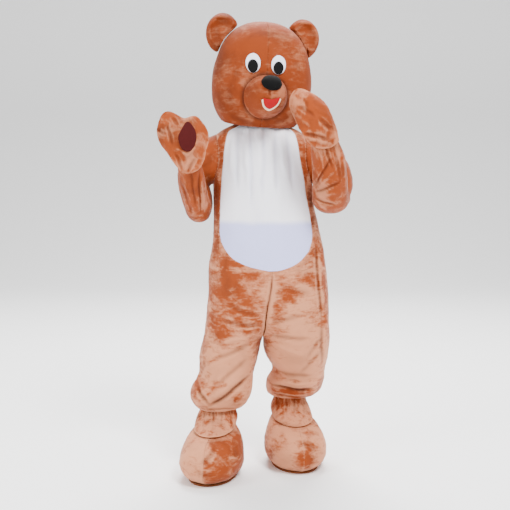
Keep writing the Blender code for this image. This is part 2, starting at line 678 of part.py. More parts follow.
HEAD_PLACE, HEAD_TURN = (-0.005, 0.0, 1.633), (0, 4, 6)
HEAD_WIDE, HEAD_DEEP, HEAD_TALL, JAW = 0.206, 0.188, 0.223, 0.233  # half-sizes
HEAD_CELLS = 10
SEAM_BEHIND = 0.010  # the seam over the head, from one side of the neck to the other
NECK_MIDDLE, NECK_SLOPE = -0.192, 0.20  # the neck's edge, higher at the back
EAR_WALL = 0.0025


def head_value(x, y, z):
    """1 on the head's surface: a rounded box, squarer at the jaw than at the crown."""
    squareness = 2.35 + 0.55 * eased(0.5 - z / HEAD_TALL)
    wide = HEAD_WIDE * (1 - 0.055 * eased((z / HEAD_TALL + 0.15) / 0.6))
    return (
        abs(x / wide) ** squareness
        + abs(z / (HEAD_TALL if z > 0 else JAW)) ** squareness
        + abs(y / HEAD_DEEP) ** 2.25
    )


def reach_head(start, direction):
    """Where a line from a point inside meets the head's surface."""
    low, high = 0.0, 0.5
    for _ in range(40):
        middle = (low + high) / 2
        if head_value(*(start + direction * middle)) < 1:
            low = middle
        else:
            high = middle
    return start + direction * low


def head_normal(point):
    step = 0.0005
    slopes = []
    for axis in range(3):
        ahead, behind = point.copy(), point.copy()
        ahead[axis] += step
        behind[axis] -= step
        slopes.append(head_value(*ahead) - head_value(*behind))
    return Vector(slopes).normalized()


def face_point(x, z):
    """The head's front surface at x, z."""
    return reach_head(Vector((x, 0, z)), Vector((0, -1, 0)))


def head_panel(name, side, face):
    """A quarter of the head: its ball cut at the two seams and the neck, then given its wall."""
    bm = bmesh.new()
    bmesh.ops.create_cube(bm, size=2)
    bmesh.ops.subdivide_edges(bm, edges=bm.edges[:], cuts=HEAD_CELLS - 1, use_grid_fill=True)
    for vert in bm.verts:
        spread = Vector([math.tan(value * math.pi / 4) for value in vert.co])
        vert.co = reach_head(Vector(), spread.normalized())
    cuts = [
        (Vector((side * SEAM / 2, 0, 0)), Vector((-side, 0, 0))),
        (Vector((0, SEAM_BEHIND - face * SEAM / 2, 0)), Vector((0, face, 0))),
        (Vector((0, 0, NECK_MIDDLE)), Vector((0, NECK_SLOPE, -1))),
    ]
    for place, away in cuts:
        everything = bm.verts[:] + bm.edges[:] + bm.faces[:]
        bmesh.ops.bisect_plane(
            bm, geom=everything, dist=0.000001, plane_co=place, plane_no=away, clear_outer=True
        )
    rim = [edge for edge in bm.edges if edge.is_boundary]
    inner = {vert: bm.verts.new(vert.co - head_normal(vert.co) * HEAD_WALL) for vert in bm.verts[:]}
    for shape in bm.faces[:]:
        bm.faces.new([inner[vert] for vert in reversed(shape.verts)])
    for edge in rim:
        start, end = edge.verts
        bm.faces.new((start, end, inner[end], inner[start]))
    return finished(bm, name, "tan_plush", HEAD)


MUZZLE = (0.001, -0.094)
MUZZLE_HALF = (0.087, 0.085)
MUZZLE_OUT = 0.122
MUZZLE_LEAN = 0.10  # it points a little to the bear's left
ON_FACE = 0.0010  # clear of the panel beneath
EYE_PLACE, EYE_HALF, EYE_SHIFT = (0.050, 0.034), (0.0295, 0.039), -0.007
PUPIL_DROP, PUPIL_HALF = 0.0125, (0.0208, 0.0262)
NOSE_UP, NOSE_HALF, NOSE_OUT = 0.045, (0.040, 0.029), 0.016
MOUTH_HALF, MOUTH_DROP, LIP = 0.032, 0.031, 0.006


def muzzle_point(x, z, shrink=0.0):
    """The muzzle's surface in front of x, z on the face; shrink gives the inside of its wall."""
    wide, tall = MUZZLE_HALF[0] - shrink, MUZZLE_HALF[1] - shrink
    away = math.hypot((x - MUZZLE[0]) / wide, (z - MUZZLE[1]) / tall)
    point = face_point(x, z)
    out = (MUZZLE_OUT - shrink) * math.sqrt(max(1 - away**2.5, 0.0))
    point.y -= out + ON_FACE
    point.x += MUZZLE_LEAN * out
    return point


def muzzle_half(side):
    def surface(u, v, shrink=0.0):
        wide, tall = MUZZLE_HALF[0] - shrink, MUZZLE_HALF[1] - shrink
        across, up = on_disc((side * u + 1) / 2, v)
        x = side * max(abs(across * wide), SEAM / 2)
        return muzzle_point(MUZZLE[0] + x, MUZZLE[1] + up * tall, shrink)

    def lining(u, v):
        return surface(u, v, shrink=PLUSH)

    name = "muzzle_" + ("right" if side == RIGHT else "left")
    cloth_wall(name, surface, 5, 10, PLUSH, "tan_plush", HEAD, lining=lining)


def eye(side):
    which = "right" if side == RIGHT else "left"
    x, z = side * EYE_PLACE[0] + EYE_SHIFT, EYE_PLACE[1]

    def white(u, v):
        across, up = on_disc(u, v)
        return face_point(x + across * EYE_HALF[0], z + up * EYE_HALF[1])

    def pupil(u, v):
        across, up = on_disc(u, v)
        return face_point(x + across * PUPIL_HALF[0], z - PUPIL_DROP + up * PUPIL_HALF[1])

    cloth_wall("eye_white_" + which, white, 5, 5, FELT, "white_felt", HEAD, 1, lifted=ON_FACE + FELT)
    cloth_wall("pupil_" + which, pupil, 5, 5, FELT, "black_felt", HEAD, 1, lifted=ON_FACE + 2 * FELT + 0.0006)


def make_nose():
    """A firm domed nose on the muzzle's tip."""

    def under(u, v):
        across, up = on_disc(u, v)
        return muzzle_point(MUZZLE[0] + across * NOSE_HALF[0], MUZZLE[1] + NOSE_UP + up * NOSE_HALF[1])

    def back(u, v):
        return under(u, v) + direction_at(under, u, v, 1) * 0.0012

    def dome(u, v):
        across, up = on_disc(u, v)
        out = 0.004 + NOSE_OUT * math.sqrt(max(1 - (across**2 + up**2) ** 1.3, 0.0))
        return under(u, v) + direction_at(under, u, v, 1) * out

    cloth_wall("nose", dome, 6, 6, 0, "black_felt", HEAD, 1, lining=back)


def mouth_edge(share):
    """Height of the mouth's upper and lower edges, -1 to 1 across it."""
    upper = MUZZLE[1] - 0.014 + 0.005 * share * share + 0.004 * share
    upper -= 0.003 * math.exp(-((share / 0.3) ** 2))
    return upper, upper - 0.003 - MOUTH_DROP * (1 - share * share) ** 0.5


def make_mouth():
    def lining(u, v):
        share = 2 * u - 1
        upper, lower = mouth_edge(share)
        return muzzle_point(MUZZLE[0] + share * MOUTH_HALF, upper + v * (lower - upper))

    def lip(u, v):
        share = 2 * u - 1
        lower = mouth_edge(share)[1] - 0.0006
        reach = MOUTH_HALF + v * LIP * 0.8
        return muzzle_point(MUZZLE[0] + share * reach, lower - v * LIP * (0.5 + 0.5 * (1 - share * share)))

    cloth_wall("mouth_lining", lining, 8, 3, FELT, "red_felt", HEAD, -1, lifted=ON_FACE + FELT)
    cloth_wall("lip_trim", lip, 12, 1, FELT, "cream_felt", HEAD, -1, lifted=ON_FACE + FELT)


# Ears: middle and half-sizes of the rim's oval, the angles it runs between, and the same on the head
EAR_MIDDLE = {RIGHT: (0.173, 0.163), LEFT: (0.158, 0.166)}
EAR_HALF = (0.070, 0.083)
EAR_HOLLOW = (0.021, 0.022)  # the deepest point of its front, from its middle
EAR_RIM = (-78, 150)  # turns at which the rim comes down onto the head
EAR_FRONT, EAR_BACK = 0.020, 0.022


def above_head(flat, depth, lift):
    """Moves a point of the ear's plane, depth in front of it, out until it clears the head by lift."""
    on_head = reach_head(Vector((0, -depth, 0)), Vector((flat.x, 0, flat.y)).normalized())
    return flat * max(1.0, (math.hypot(on_head.x, on_head.z) + lift) / flat.length)


def ear_point(side, face, across, up, shrink=0.0):
    """A point of an ear's front (1) or back (-1); across and up run over the unit disc."""
    middle = Vector(EAR_MIDDLE[side])
    out = min(math.hypot(across, up), 1.0)
    turn = math.degrees(math.atan2(up, across))
    gap = 360 - (EAR_RIM[1] - EAR_RIM[0])
    past_rim = (turn - EAR_RIM[1]) % 360
    base = eased(min(past_rim, gap - past_rim) / 34) if past_rim < gap else 0.0

    def rim_point(angle):
        angle = math.radians(angle)
        across, up = (EAR_HALF[0] - shrink) * math.cos(angle), (EAR_HALF[1] - shrink) * math.sin(angle)
        return middle + Vector((across, up))

    if past_rim < gap:
        edge = rim_point(EAR_RIM[1]).slerp(rim_point(EAR_RIM[0]), past_rim / gap)
    else:
        edge = rim_point(turn)
    depth = ((EAR_FRONT if face == FRONT else EAR_BACK) - shrink) * base
    lift = 0.0015 + shrink * (1 - base)
    if past_rim < gap:
        edge = edge.normalized() * 0.1
    edge = above_head(edge, face * depth, lift)
    bulge = 0.008 + 0.026 * math.exp(-(((out - 0.74) / 0.24) ** 2)) if face == FRONT else 0.030
    bulge = (bulge - shrink) * math.sqrt(max(1 - out**4, 0.0))
    bulge += (depth - bulge) * base * out**1.5
    flat = above_head((middle + Vector(EAR_HOLLOW)).lerp(edge, out), face * bulge, lift)
    return Vector((side * flat.x, -face * (bulge + SEAM / 2), flat.y))


def ear_half(side, face):
    """The front or back of an ear: they meet round the rim and part along the head."""

    def surface(u, v, shrink=0.0):
        return ear_point(side, face, *on_disc(u, v), shrink)

    def lining(u, v):
        return surface(u, v, shrink=EAR_WALL)

    name = ("ear_front_" if face == FRONT else "ear_back_") + ("right" if side == RIGHT else "left")
    cloth_wall(name, surface, 7, 7, EAR_WALL, "tan_plush", HEAD, side * face, lining=lining)


# ------------------------------------------------------------------ boots

# Rings of a boot's upper, from the ankle to the sole, along the foot's own front-to-back line
Level = namedtuple("Level", "height middle long wide")
UPPER = [
    Level(0.210, 0.000, 0.066, 0.062),
    Level(0.194, -0.010, 0.086, 0.074),
    Level(0.180, -0.048, 0.128, 0.092),
    Level(0.156, -0.088, 0.174, 0.114),
    Level(0.115, -0.108, 0.204, 0.130),
    Level(0.068, -0.116, 0.215, 0.133),
    Level(0.030, -0.112, 0.204, 0.122),
    Level(0.0085, -0.102, 0.176, 0.095),
]
# Rings of the ankle cover; its hem lies on the boot, so the last two take their heights from it
SPAT = [
    Level(0.296, 0.000, 0.068, 0.067),
    Level(0.268, 0.000, 0.070, 0.069),
    Level(0.246, -0.002, 0.076, 0.077),
    Level(0.224, -0.006, 0.098, 0.087),
    Level(0.0, -0.028, 0.113, 0.087),
    Level(0.0, -0.062, 0.146, 0.085),
]
BOOT_WALL, SOLE = 0.004, 0.006
Boot = namedtuple("Boot", "place turn")
BOOTS = {
    RIGHT: Boot((-0.188, -0.045, 0), (0, 0, -9)),
    LEFT: Boot((0.117, 0.124, 0), (0, 0, 9)),
}
BOOT_FOLDS = [
    Fold("front", -0.100, 0.080, -0.040, 0.150, 0.014, 0.005),
    Fold("front", -0.112, 0.120, -0.060, 0.165, 0.010, -0.005),
    Fold("front", 0.020, 0.162, 0.115, 0.130, 0.010, -0.005),
    Fold("front", 0.040, 0.145, 0.122, 0.105, 0.012, 0.004),
    Fold("right", -0.130, 0.060, 0.020, 0.110, 0.016, -0.004),
    Fold("left", -0.110, 0.110, 0.060, 0.060, 0.016, -0.004),
]


def oval_point(row, turn):
    """A point of a boot's ring: turn is 0 at the toe and half a turn at the heel."""
    wide = row.wide * (1 + 0.10 * math.cos(turn))
    return Vector((wide * math.sin(turn), row.middle - row.long * math.cos(turn), row.height))


def top_of_boot(x, y):
    """Height of the boot's upper at a point in plan."""
    low, high = 0.0, len(UPPER) - 1.0
    for _ in range(30):
        middle = (low + high) / 2
        row = between(UPPER, middle)
        along = (row.middle - y) / row.long
        wide = row.wide * (1 + 0.10 * min(max(along, -1), 1))
        if along**2 + (x / wide) ** 2 > 1:
            low = middle
        else:
            high = middle
    return between(UPPER, high).height


def make_boot(side):
    boot = BOOTS[side]
    which = "right" if side == RIGHT else "left"
    frame = holder("boot_" + which, STAND, boot.place, boot.turn)
    for half in (RIGHT, LEFT):

        def upper(u, v, half=half):
            row = between(UPPER, v * (len(UPPER) - 1))
            point = oval_point(row, math.pi * u)
            point.x = half * max(point.x, SEAM / 2)
            return point

        name = ("boot_outer_" if half == side else "boot_inner_") + which
        upper = folded(upper, BOOT_FOLDS, -half)
        cloth_wall(name, upper, 8, 9, BOOT_WALL, "tan_plush", frame, -half)

    def spat(u, v):
        run = v * (len(SPAT) - 1)
        row = between(SPAT, run)
        turn = math.pi * (1 + 0.0015 + u * (2 - 0.003))
        point = oval_point(row, turn)
        inward = Vector((-point.x, row.middle - point.y)).normalized() * (PLUSH + 0.0035)
        resting = top_of_boot(point.x + inward.x, point.y + inward.y) + PLUSH + 0.0030
        point.z = max(resting, SPAT[3].height + (resting - SPAT[3].height) * min(max((run - 3) / 2, 0), 1))
        if run < 3:
            point.z = max(row.height, resting)
        return point

    cloth_wall("spat_" + which, spat, 16, 5, PLUSH, "tan_plush", frame, -1)

    def sole(u, v):
        across, up = on_disc(u, v)
        rim = UPPER[-1]
        wide = (rim.wide + 0.002) * (1 - 0.10 * up)
        return Vector((across * wide, rim.middle + up * (rim.long + 0.002), SOLE))

    cloth_wall("sole_" + which, sole, 6, 6, SOLE, "sole_cloth", frame, 1)


clear_scene()
COSTUME = bpy.data.collections.new("bear_costume")
bpy.context.scene.collection.children.link(COSTUME)
STAND = holder("standing_figure", place=(0, 0, -SHOULDERS))
SUIT = holder("jumpsuit", STAND)
BODY_ROWS = {side: body_rows(side) for side in (RIGHT, LEFT)}
BODY_RUNS = body_runs()

HEAD = holder("head", STAND, HEAD_PLACE, HEAD_TURN)

for side in (RIGHT, LEFT):
    body_panel(side, FRONT, columns=6)
    body_panel(side, BEHIND, columns=5)
    for face in (FRONT, BEHIND):
        sleeve_half(side, face)
        quarter = ("head_face_" if face == FRONT else "head_back_") + ("right" if side == RIGHT else "left")
        head_panel(quarter, side, face)
        ear_half(side, face)
    muzzle_half(side)
    eye(side)
    make_mitt(side)
    make_boot(side)
belly_panel(columns=22)
back_zip()
make_nose()
make_mouth()
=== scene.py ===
# Bear mascot costume: plush, felt and zip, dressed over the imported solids
import math

import bpy
import numpy as np
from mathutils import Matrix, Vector, kdtree, noise


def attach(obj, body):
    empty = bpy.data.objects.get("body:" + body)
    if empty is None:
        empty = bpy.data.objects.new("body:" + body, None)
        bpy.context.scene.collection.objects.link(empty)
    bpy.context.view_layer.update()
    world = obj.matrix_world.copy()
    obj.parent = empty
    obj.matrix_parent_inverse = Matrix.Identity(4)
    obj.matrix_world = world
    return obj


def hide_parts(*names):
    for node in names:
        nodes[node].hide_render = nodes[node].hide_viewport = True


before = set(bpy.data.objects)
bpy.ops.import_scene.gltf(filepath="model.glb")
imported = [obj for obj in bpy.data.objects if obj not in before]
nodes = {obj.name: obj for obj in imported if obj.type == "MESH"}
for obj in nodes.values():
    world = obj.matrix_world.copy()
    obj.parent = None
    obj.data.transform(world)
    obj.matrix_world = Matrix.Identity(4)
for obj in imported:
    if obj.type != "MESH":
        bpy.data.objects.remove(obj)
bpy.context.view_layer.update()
floorZ = -1.4  # soles stand here, the origin is at the shoulders

look = {
    "deepPlush": (0.255, 0.044, 0.007), "headPlush": (0.205, 0.033, 0.0045),
    # shadePlush is painted shade in creases and round the muzzle, and also the random darker mottle;
    # peachPlush is the pale nap, partly painted sheen
    "shadePlush": (0.048, 0.009, 0.003), "peachPlush": (0.60, 0.250, 0.130),
    "white": (0.94, 0.93, 1.0), "lavender": (0.56, 0.58, 0.93), "bibShade": (0.42, 0.42, 0.58),
    "eye": (0.88, 0.88, 0.97), "black": (0.0008, 0.0008, 0.0009), "pad": (0.052, 0.003, 0.003),
    "red": (0.36, 0.0005, 0.004), "cream": (0.86, 0.66, 0.48), "sole": (0.22, 0.07, 0.025),
    "tape": (0.22, 0.07, 0.02), "tooth": (0.32, 0.12, 0.04), "paper": (0.93, 0.93, 0.93),
}


def deselectAll():
    if bpy.context.object and bpy.context.object.mode != "OBJECT":
        bpy.ops.object.mode_set(mode="OBJECT")
    bpy.ops.object.select_all(action="DESELECT")


def makeActive(obj):
    deselectAll()
    obj.select_set(True)
    bpy.context.view_layer.objects.active = obj


def newGroup(name, inputs, outputs):  # the group, its way in and its way out
    group = bpy.data.node_groups.new(name, "ShaderNodeTree")
    for label, kind, value in inputs:
        made = group.interface.new_socket(label, in_out="INPUT", socket_type="NodeSocket" + kind)
        if value is not None:
            made.default_value = value
    for label, kind in outputs:
        group.interface.new_socket(label, in_out="OUTPUT", socket_type="NodeSocket" + kind)
    return group, group.nodes.new("NodeGroupInput"), group.nodes.new("NodeGroupOutput")


def mathNode(tree, kind, first, second=None, clamp=False):
    made = tree.nodes.new("ShaderNodeMath")
    made.operation, made.use_clamp = kind, clamp
    for slot, value in enumerate([first] if second is None else [first, second]):
        if isinstance(value, (int, float)):
            made.inputs[slot].default_value = value
        else:
            tree.links.new(value, made.inputs[slot])
    return made.outputs[0]


def noiseNode(tree, vector, scale, detail=2.0, distortion=0.0, stretch=None):
    if stretch:
        mapping = tree.nodes.new("ShaderNodeMapping")
        mapping.inputs["Scale"].default_value = stretch
        tree.links.new(vector, mapping.inputs["Vector"])
        vector = mapping.outputs["Vector"]
    made = tree.nodes.new("ShaderNodeTexNoise")
    made.inputs["Scale"].default_value = scale
    made.inputs["Detail"].default_value = detail
    made.inputs["Distortion"].default_value = distortion
    tree.links.new(vector, made.inputs["Vector"])
    return made.outputs[0]


def spread(tree, value, low, high):
    made = tree.nodes.new("ShaderNodeMapRange")
    made.interpolation_type = "SMOOTHSTEP"
    made.inputs["From Min"].default_value = low
    made.inputs["From Max"].default_value = high
    tree.links.new(value, made.inputs["Value"])
    return made.outputs["Result"]


def mixColour(tree, factor, first, second):
    made = tree.nodes.new("ShaderNodeMix")
    made.data_type = "RGBA"
    for slot, value in ((0, factor), (6, first), (7, second)):
        if isinstance(value, (tuple, float)):
            made.inputs[slot].default_value = (*value, 1) if isinstance(value, tuple) else value
        else:
            tree.links.new(value, made.inputs[slot])
    return made.outputs[2]


def plusPart(tree, total, value, middle, amount):  # adds how far a value stands from its middle
    offset = mathNode(tree, "SUBTRACT", value, middle)
    return mathNode(tree, "ADD", total, mathNode(tree, "MULTIPLY", offset, amount))


napSettings = {  # noises: scale, detail, distortion, stretch; then how much each one counts
    "patches": (5.5, 4.0, 1.6, (1.0, 1.0, 1.35)), "streaks": (26.0, 3.0, 0.8, (0.8, 0.8, 2.4)),
    "fine": (420.0, 2.0), "tuft": (95.0, 3.0, 0.5),
    "streaksCount": 0.70, "tuftCount": 0.24, "shareCount": 0.42, "leanAndSheenCount": 0.30,
    "brushedSheenFrom": 0.31, "brushedSheenFull": 0.74, "finePile": 0.6, "tuftPile": 0.5,
}
# nap: where the pile was brushed the other way, its paleness painted sheen, with painted highlight from the
# lean; and the short pile's grain
napGroup, napIn, napOut = newGroup(
    "nap", [("Vector", "Vector", None), ("Share", "Float", 0.5), ("LeanAndSheen", "Float", 0.0)],
    [("BrushedSheen", "Float"), ("Pile", "Float")])
vectorIn = napIn.outputs["Vector"]
patches = noiseNode(napGroup, vectorIn, *napSettings["patches"])
streaks = noiseNode(napGroup, vectorIn, *napSettings["streaks"])
fine = noiseNode(napGroup, vectorIn, *napSettings["fine"])
tuft = noiseNode(napGroup, vectorIn, *napSettings["tuft"])
mask = plusPart(napGroup, patches, streaks, 0.5, napSettings["streaksCount"])
mask = plusPart(napGroup, mask, tuft, 0.5, napSettings["tuftCount"])
mask = plusPart(napGroup, mask, napIn.outputs["Share"], 0.5, napSettings["shareCount"])
# the lean carries painted highlight on fold ridges, fold lips and seams, and paler or deeper painted sheen
mask = plusPart(napGroup, mask, napIn.outputs["LeanAndSheen"], 0.0, napSettings["leanAndSheenCount"])
brushedSheenMask = spread(napGroup, mask, napSettings["brushedSheenFrom"], napSettings["brushedSheenFull"])
napGroup.links.new(brushedSheenMask, napOut.inputs["BrushedSheen"])
finePile = mathNode(napGroup, "MULTIPLY", fine, napSettings["finePile"])
tuftPile = mathNode(napGroup, "MULTIPLY", tuft, napSettings["tuftPile"])
napGroup.links.new(mathNode(napGroup, "ADD", finePile, tuftPile), napOut.inputs["Pile"])
print("stage: shader groups")

clothSettings = {
    "specular": 0.15, "sheenRoughness": 0.35, "sheenTint": (1.0, 0.86, 0.76, 1),
    "bumpHeight": 0.0016, "grainShows": 0.35, "grainDark": 0.72,
    "wobble": (7.0, 2.0), "wobbleHeight": 0.03, "gatherShade": -0.48,  # the white panel
    "mottle": (9.0, 3.0, 0.6), "mottleFrom": 0.45, "mottleFull": 0.75, "mottleDepth": 0.34,
    "mottleOver": 0.5, "creaseShade": -0.85,  # plush
}


def heightOf(tree, place):
    split = tree.nodes.new("ShaderNodeSeparateXYZ")
    tree.links.new(place, split.inputs[0])
    return split.outputs[2]


def attributeOf(tree, label):
    made = tree.nodes.new("ShaderNodeAttribute")
    made.attribute_name = label
    return made.outputs["Fac"]


def fadedBase(tree, place, folds, colour, fade):  # a second tone below a height, and shade in the gathers
    lowColour, level, blur = fade
    wobble = noiseNode(tree, place, *clothSettings["wobble"])
    wobble = mathNode(tree, "MULTIPLY", wobble, clothSettings["wobbleHeight"])
    height = mathNode(tree, "ADD", heightOf(tree, place), wobble)
    base = mixColour(tree, spread(tree, height, level, level + blur), lowColour, colour)
    hollow = mathNode(tree, "MULTIPLY", folds, clothSettings["gatherShade"], clamp=True)
    return mixColour(tree, hollow, base, look["bibShade"])


def plushBase(tree, place, folds, nap, colour, share):  # two tones of nap, the pale one partly painted sheen, and painted shade in the creases
    low, high, top, bottom, peak = share
    amount = tree.nodes.new("ShaderNodeMapRange")
    for label, value in (("From Min", bottom), ("From Max", top), ("To Min", high), ("To Max", low)):
        amount.inputs[label].default_value = value
    tree.links.new(heightOf(tree, place), amount.inputs["Value"])
    tree.links.new(amount.outputs["Result"], nap.inputs["Share"])
    mottle = noiseNode(tree, place, *clothSettings["mottle"])
    mottle = spread(tree, mottle, clothSettings["mottleFrom"], clothSettings["mottleFull"])
    mottle = mathNode(tree, "MULTIPLY", mottle, clothSettings["mottleDepth"])
    base = mixColour(tree, mottle, colour, look["shadePlush"])
    # pale nap: the brushed pattern, its paleness painted sheen
    pale = mathNode(tree, "MULTIPLY", nap.outputs["BrushedSheen"], peak)
    base = mixColour(tree, pale, base, look["peachPlush"])
    over = mathNode(tree, "MULTIPLY", mottle, clothSettings["mottleOver"])
    base = mixColour(tree, over, base, look["shadePlush"])
    # painted shade in the creases and round the muzzle
    hollow = mathNode(tree, "MULTIPLY", folds, clothSettings["creaseShade"], clamp=True)
    return mixColour(tree, hollow, base, look["shadePlush"])


def clothMaterial(name, colour, roughness, sheen, bump, share=None, fade=None, brushed=None):
    made = bpy.data.materials.new(name)
    made.use_nodes = True
    tree = made.node_tree
    shader = tree.nodes["Principled BSDF"]
    place = tree.nodes.new("ShaderNodeTexCoord").outputs["Object"]
    nap = tree.nodes.new("ShaderNodeGroup")
    nap.node_tree = napGroup
    if brushed:  # streaks drawn out along the limb
        turn = tree.nodes.new("ShaderNodeMapping")
        turn.inputs["Scale"].default_value = brushed
        tree.links.new(place, turn.inputs["Vector"])
        tree.links.new(turn.outputs["Vector"], nap.inputs["Vector"])
    else:
        tree.links.new(place, nap.inputs["Vector"])
    # painted shade of fold hollows and round the muzzle, and the nap's lean with painted highlight
    folds = attributeOf(tree, "paintedShade")
    tree.links.new(attributeOf(tree, "leanAndSheen"), nap.inputs["LeanAndSheen"])
    if fade:
        base = fadedBase(tree, place, folds, colour, fade)
    elif share:
        base = plushBase(tree, place, folds, nap, colour, share)
    else:  # plain felt or tape, darker between its hairs
        grain = mathNode(tree, "MULTIPLY", nap.outputs["Pile"], clothSettings["grainShows"])
        base = mixColour(tree, grain, colour, tuple(c * clothSettings["grainDark"] for c in colour))
    tree.links.new(base, shader.inputs["Base Color"])
    lift = tree.nodes.new("ShaderNodeBump")
    lift.inputs["Strength"].default_value = bump
    lift.inputs["Distance"].default_value = clothSettings["bumpHeight"]
    tree.links.new(nap.outputs["Pile"], lift.inputs["Height"])
    tree.links.new(lift.outputs["Normal"], shader.inputs["Normal"])
    shader.inputs["Roughness"].default_value = roughness
    shader.inputs["Specular IOR Level"].default_value = clothSettings["specular"]
    shader.inputs["Sheen Weight"].default_value = sheen
    shader.inputs["Sheen Roughness"].default_value = clothSettings["sheenRoughness"]
    shader.inputs["Sheen Tint"].default_value = clothSettings["sheenTint"]
    return made


# colour, sheen, bump; share of nap brushed pale, partly painted sheen, at the top and the bottom, both
# heights, how pale; stretch
plushKinds = {
    "head": ("headPlush", 0.05, 0.45, (0.16, 0.24, 0.45, 0.02, 0.34), None),
    "suitRight": ("deepPlush", 0.16, 0.50, (0.26, 0.78, -0.45, -1.15, 0.92), None),
    "suitLeft": ("deepPlush", 0.16, 0.50, (0.36, 0.80, -0.30, -1.05, 0.92), None),
    "arm": ("deepPlush", 0.16, 0.50, (0.16, 0.12, 0.10, -0.30, 0.60), (1.5, 1.5, 0.55)),
    "bootPale": ("deepPlush", 0.16, 0.50, (0.85, 0.95, -1.10, -1.40, 0.95), None),
    "bootDeep": ("deepPlush", 0.16, 0.50, (0.50, 0.16, -1.22, -1.30, 0.90), None),
    "bootMid": ("deepPlush", 0.16, 0.50, (0.74, 0.80, -1.10, -1.40, 0.90), None),
    "spat": ("deepPlush", 0.16, 0.50, (0.45, 0.80, -1.12, -1.20, 0.85), (2.4, 2.4, 0.5)),
}
plushRoughness = 0.8
plush = {}
for kind, (tone, sheen, bump, share, brushed) in plushKinds.items():
    plush[kind] = clothMaterial(kind + "Plush", look[tone], plushRoughness, sheen, bump, share, None, brushed)
clothKinds = {  # name, colour, roughness, sheen, bump, second tone with its height and blur
    "white": ("bibCloth", "white", 0.85, 0.20, 0.45, (look["lavender"], -0.362, 0.03)),
    "eye": ("eyeFelt", "eye", 0.8, 0.1, 0.25, None),
    "black": ("blackFelt", "black", 0.75, 0.0, 0.25, None),
    "nose": ("noseCloth", "black", 0.85, 0.0, 0.25, None),
    "red": ("mouthFelt", "red", 0.7, 0.05, 0.3, None),
    "cream": ("lipFelt", "cream", 0.8, 0.2, 0.3, None),
    "pad": ("padFelt", "pad", 0.8, 0.05, 0.4, None),
    "sole": ("soleCloth", "sole", 0.85, 0.1, 0.4, None),
    "tape": ("zipTape", "tape", 0.7, 0.1, 0.3, None),
}
cloth = {}
for kind, (name, tone, roughness, sheen, bump, fade) in clothKinds.items():
    cloth[kind] = clothMaterial(name, look[tone], roughness, sheen, bump, None, fade)
print("stage: cloths")

foldShape = {
    "bow": 0.30, "slowWave": 5, "slowStart": 40, "fastWave": 13, "fastStart": 50, "fastPart": 0.35,
    "endRamp": 3.2, "endStart": 0.18, "thinEnd": 0.55, "lipAt": 1.7, "lipWidth": 0.55, "lipDepth": 0.005,
}


def foldField(points, rows):  # how far the points are pushed, and the painted highlight where the pile stands on the fold lips
    push, lipHighlight = np.zeros(len(points)), np.zeros(len(points))
    shape = foldShape
    for x0, z0, x1, z1, width, depth in rows:
        dx, dz = x1 - x0, z1 - z0
        length = dx * dx + dz * dz
        along = ((points[:, 0] - x0) * dx + (points[:, 2] - z0) * dz) / length
        wave = np.sin(along * shape["slowWave"] + x0 * shape["slowStart"])
        wave += shape["fastPart"] * np.sin(along * shape["fastWave"] + z0 * shape["fastStart"])
        side = ((points[:, 0] - x0) * dz - (points[:, 2] - z0) * dx) / math.sqrt(length)
        side += shape["bow"] * width * wave  # no fold is straight
        ends = np.clip(np.minimum(along, 1 - along) * shape["endRamp"] + shape["endStart"], 0, 1)
        ends = ends * ends * (3 - 2 * ends)
        wide = width * (shape["thinEnd"] + (1 - shape["thinEnd"]) * ends)
        push += depth * np.exp(-((side / wide) ** 2)) * ends
        if depth < 0:
            lip = (np.abs(side) - shape["lipAt"] * wide) / (shape["lipWidth"] * wide)
            lipHighlight += np.exp(-(lip ** 2)) * ends * min(1, -depth / shape["lipDepth"])
    return push, lipHighlight


def leanAndSheenField(points, rows):  # how far the nap leans at each point, shown as paler or deeper painted sheen
    leanAndSheen = np.zeros(len(points))
    for x, z, wide, high, amount in rows:
        leanAndSheen += amount * np.exp(-(((points[:, 0] - x) / wide) ** 2) - ((points[:, 2] - z) / high) ** 2)
    return leanAndSheen
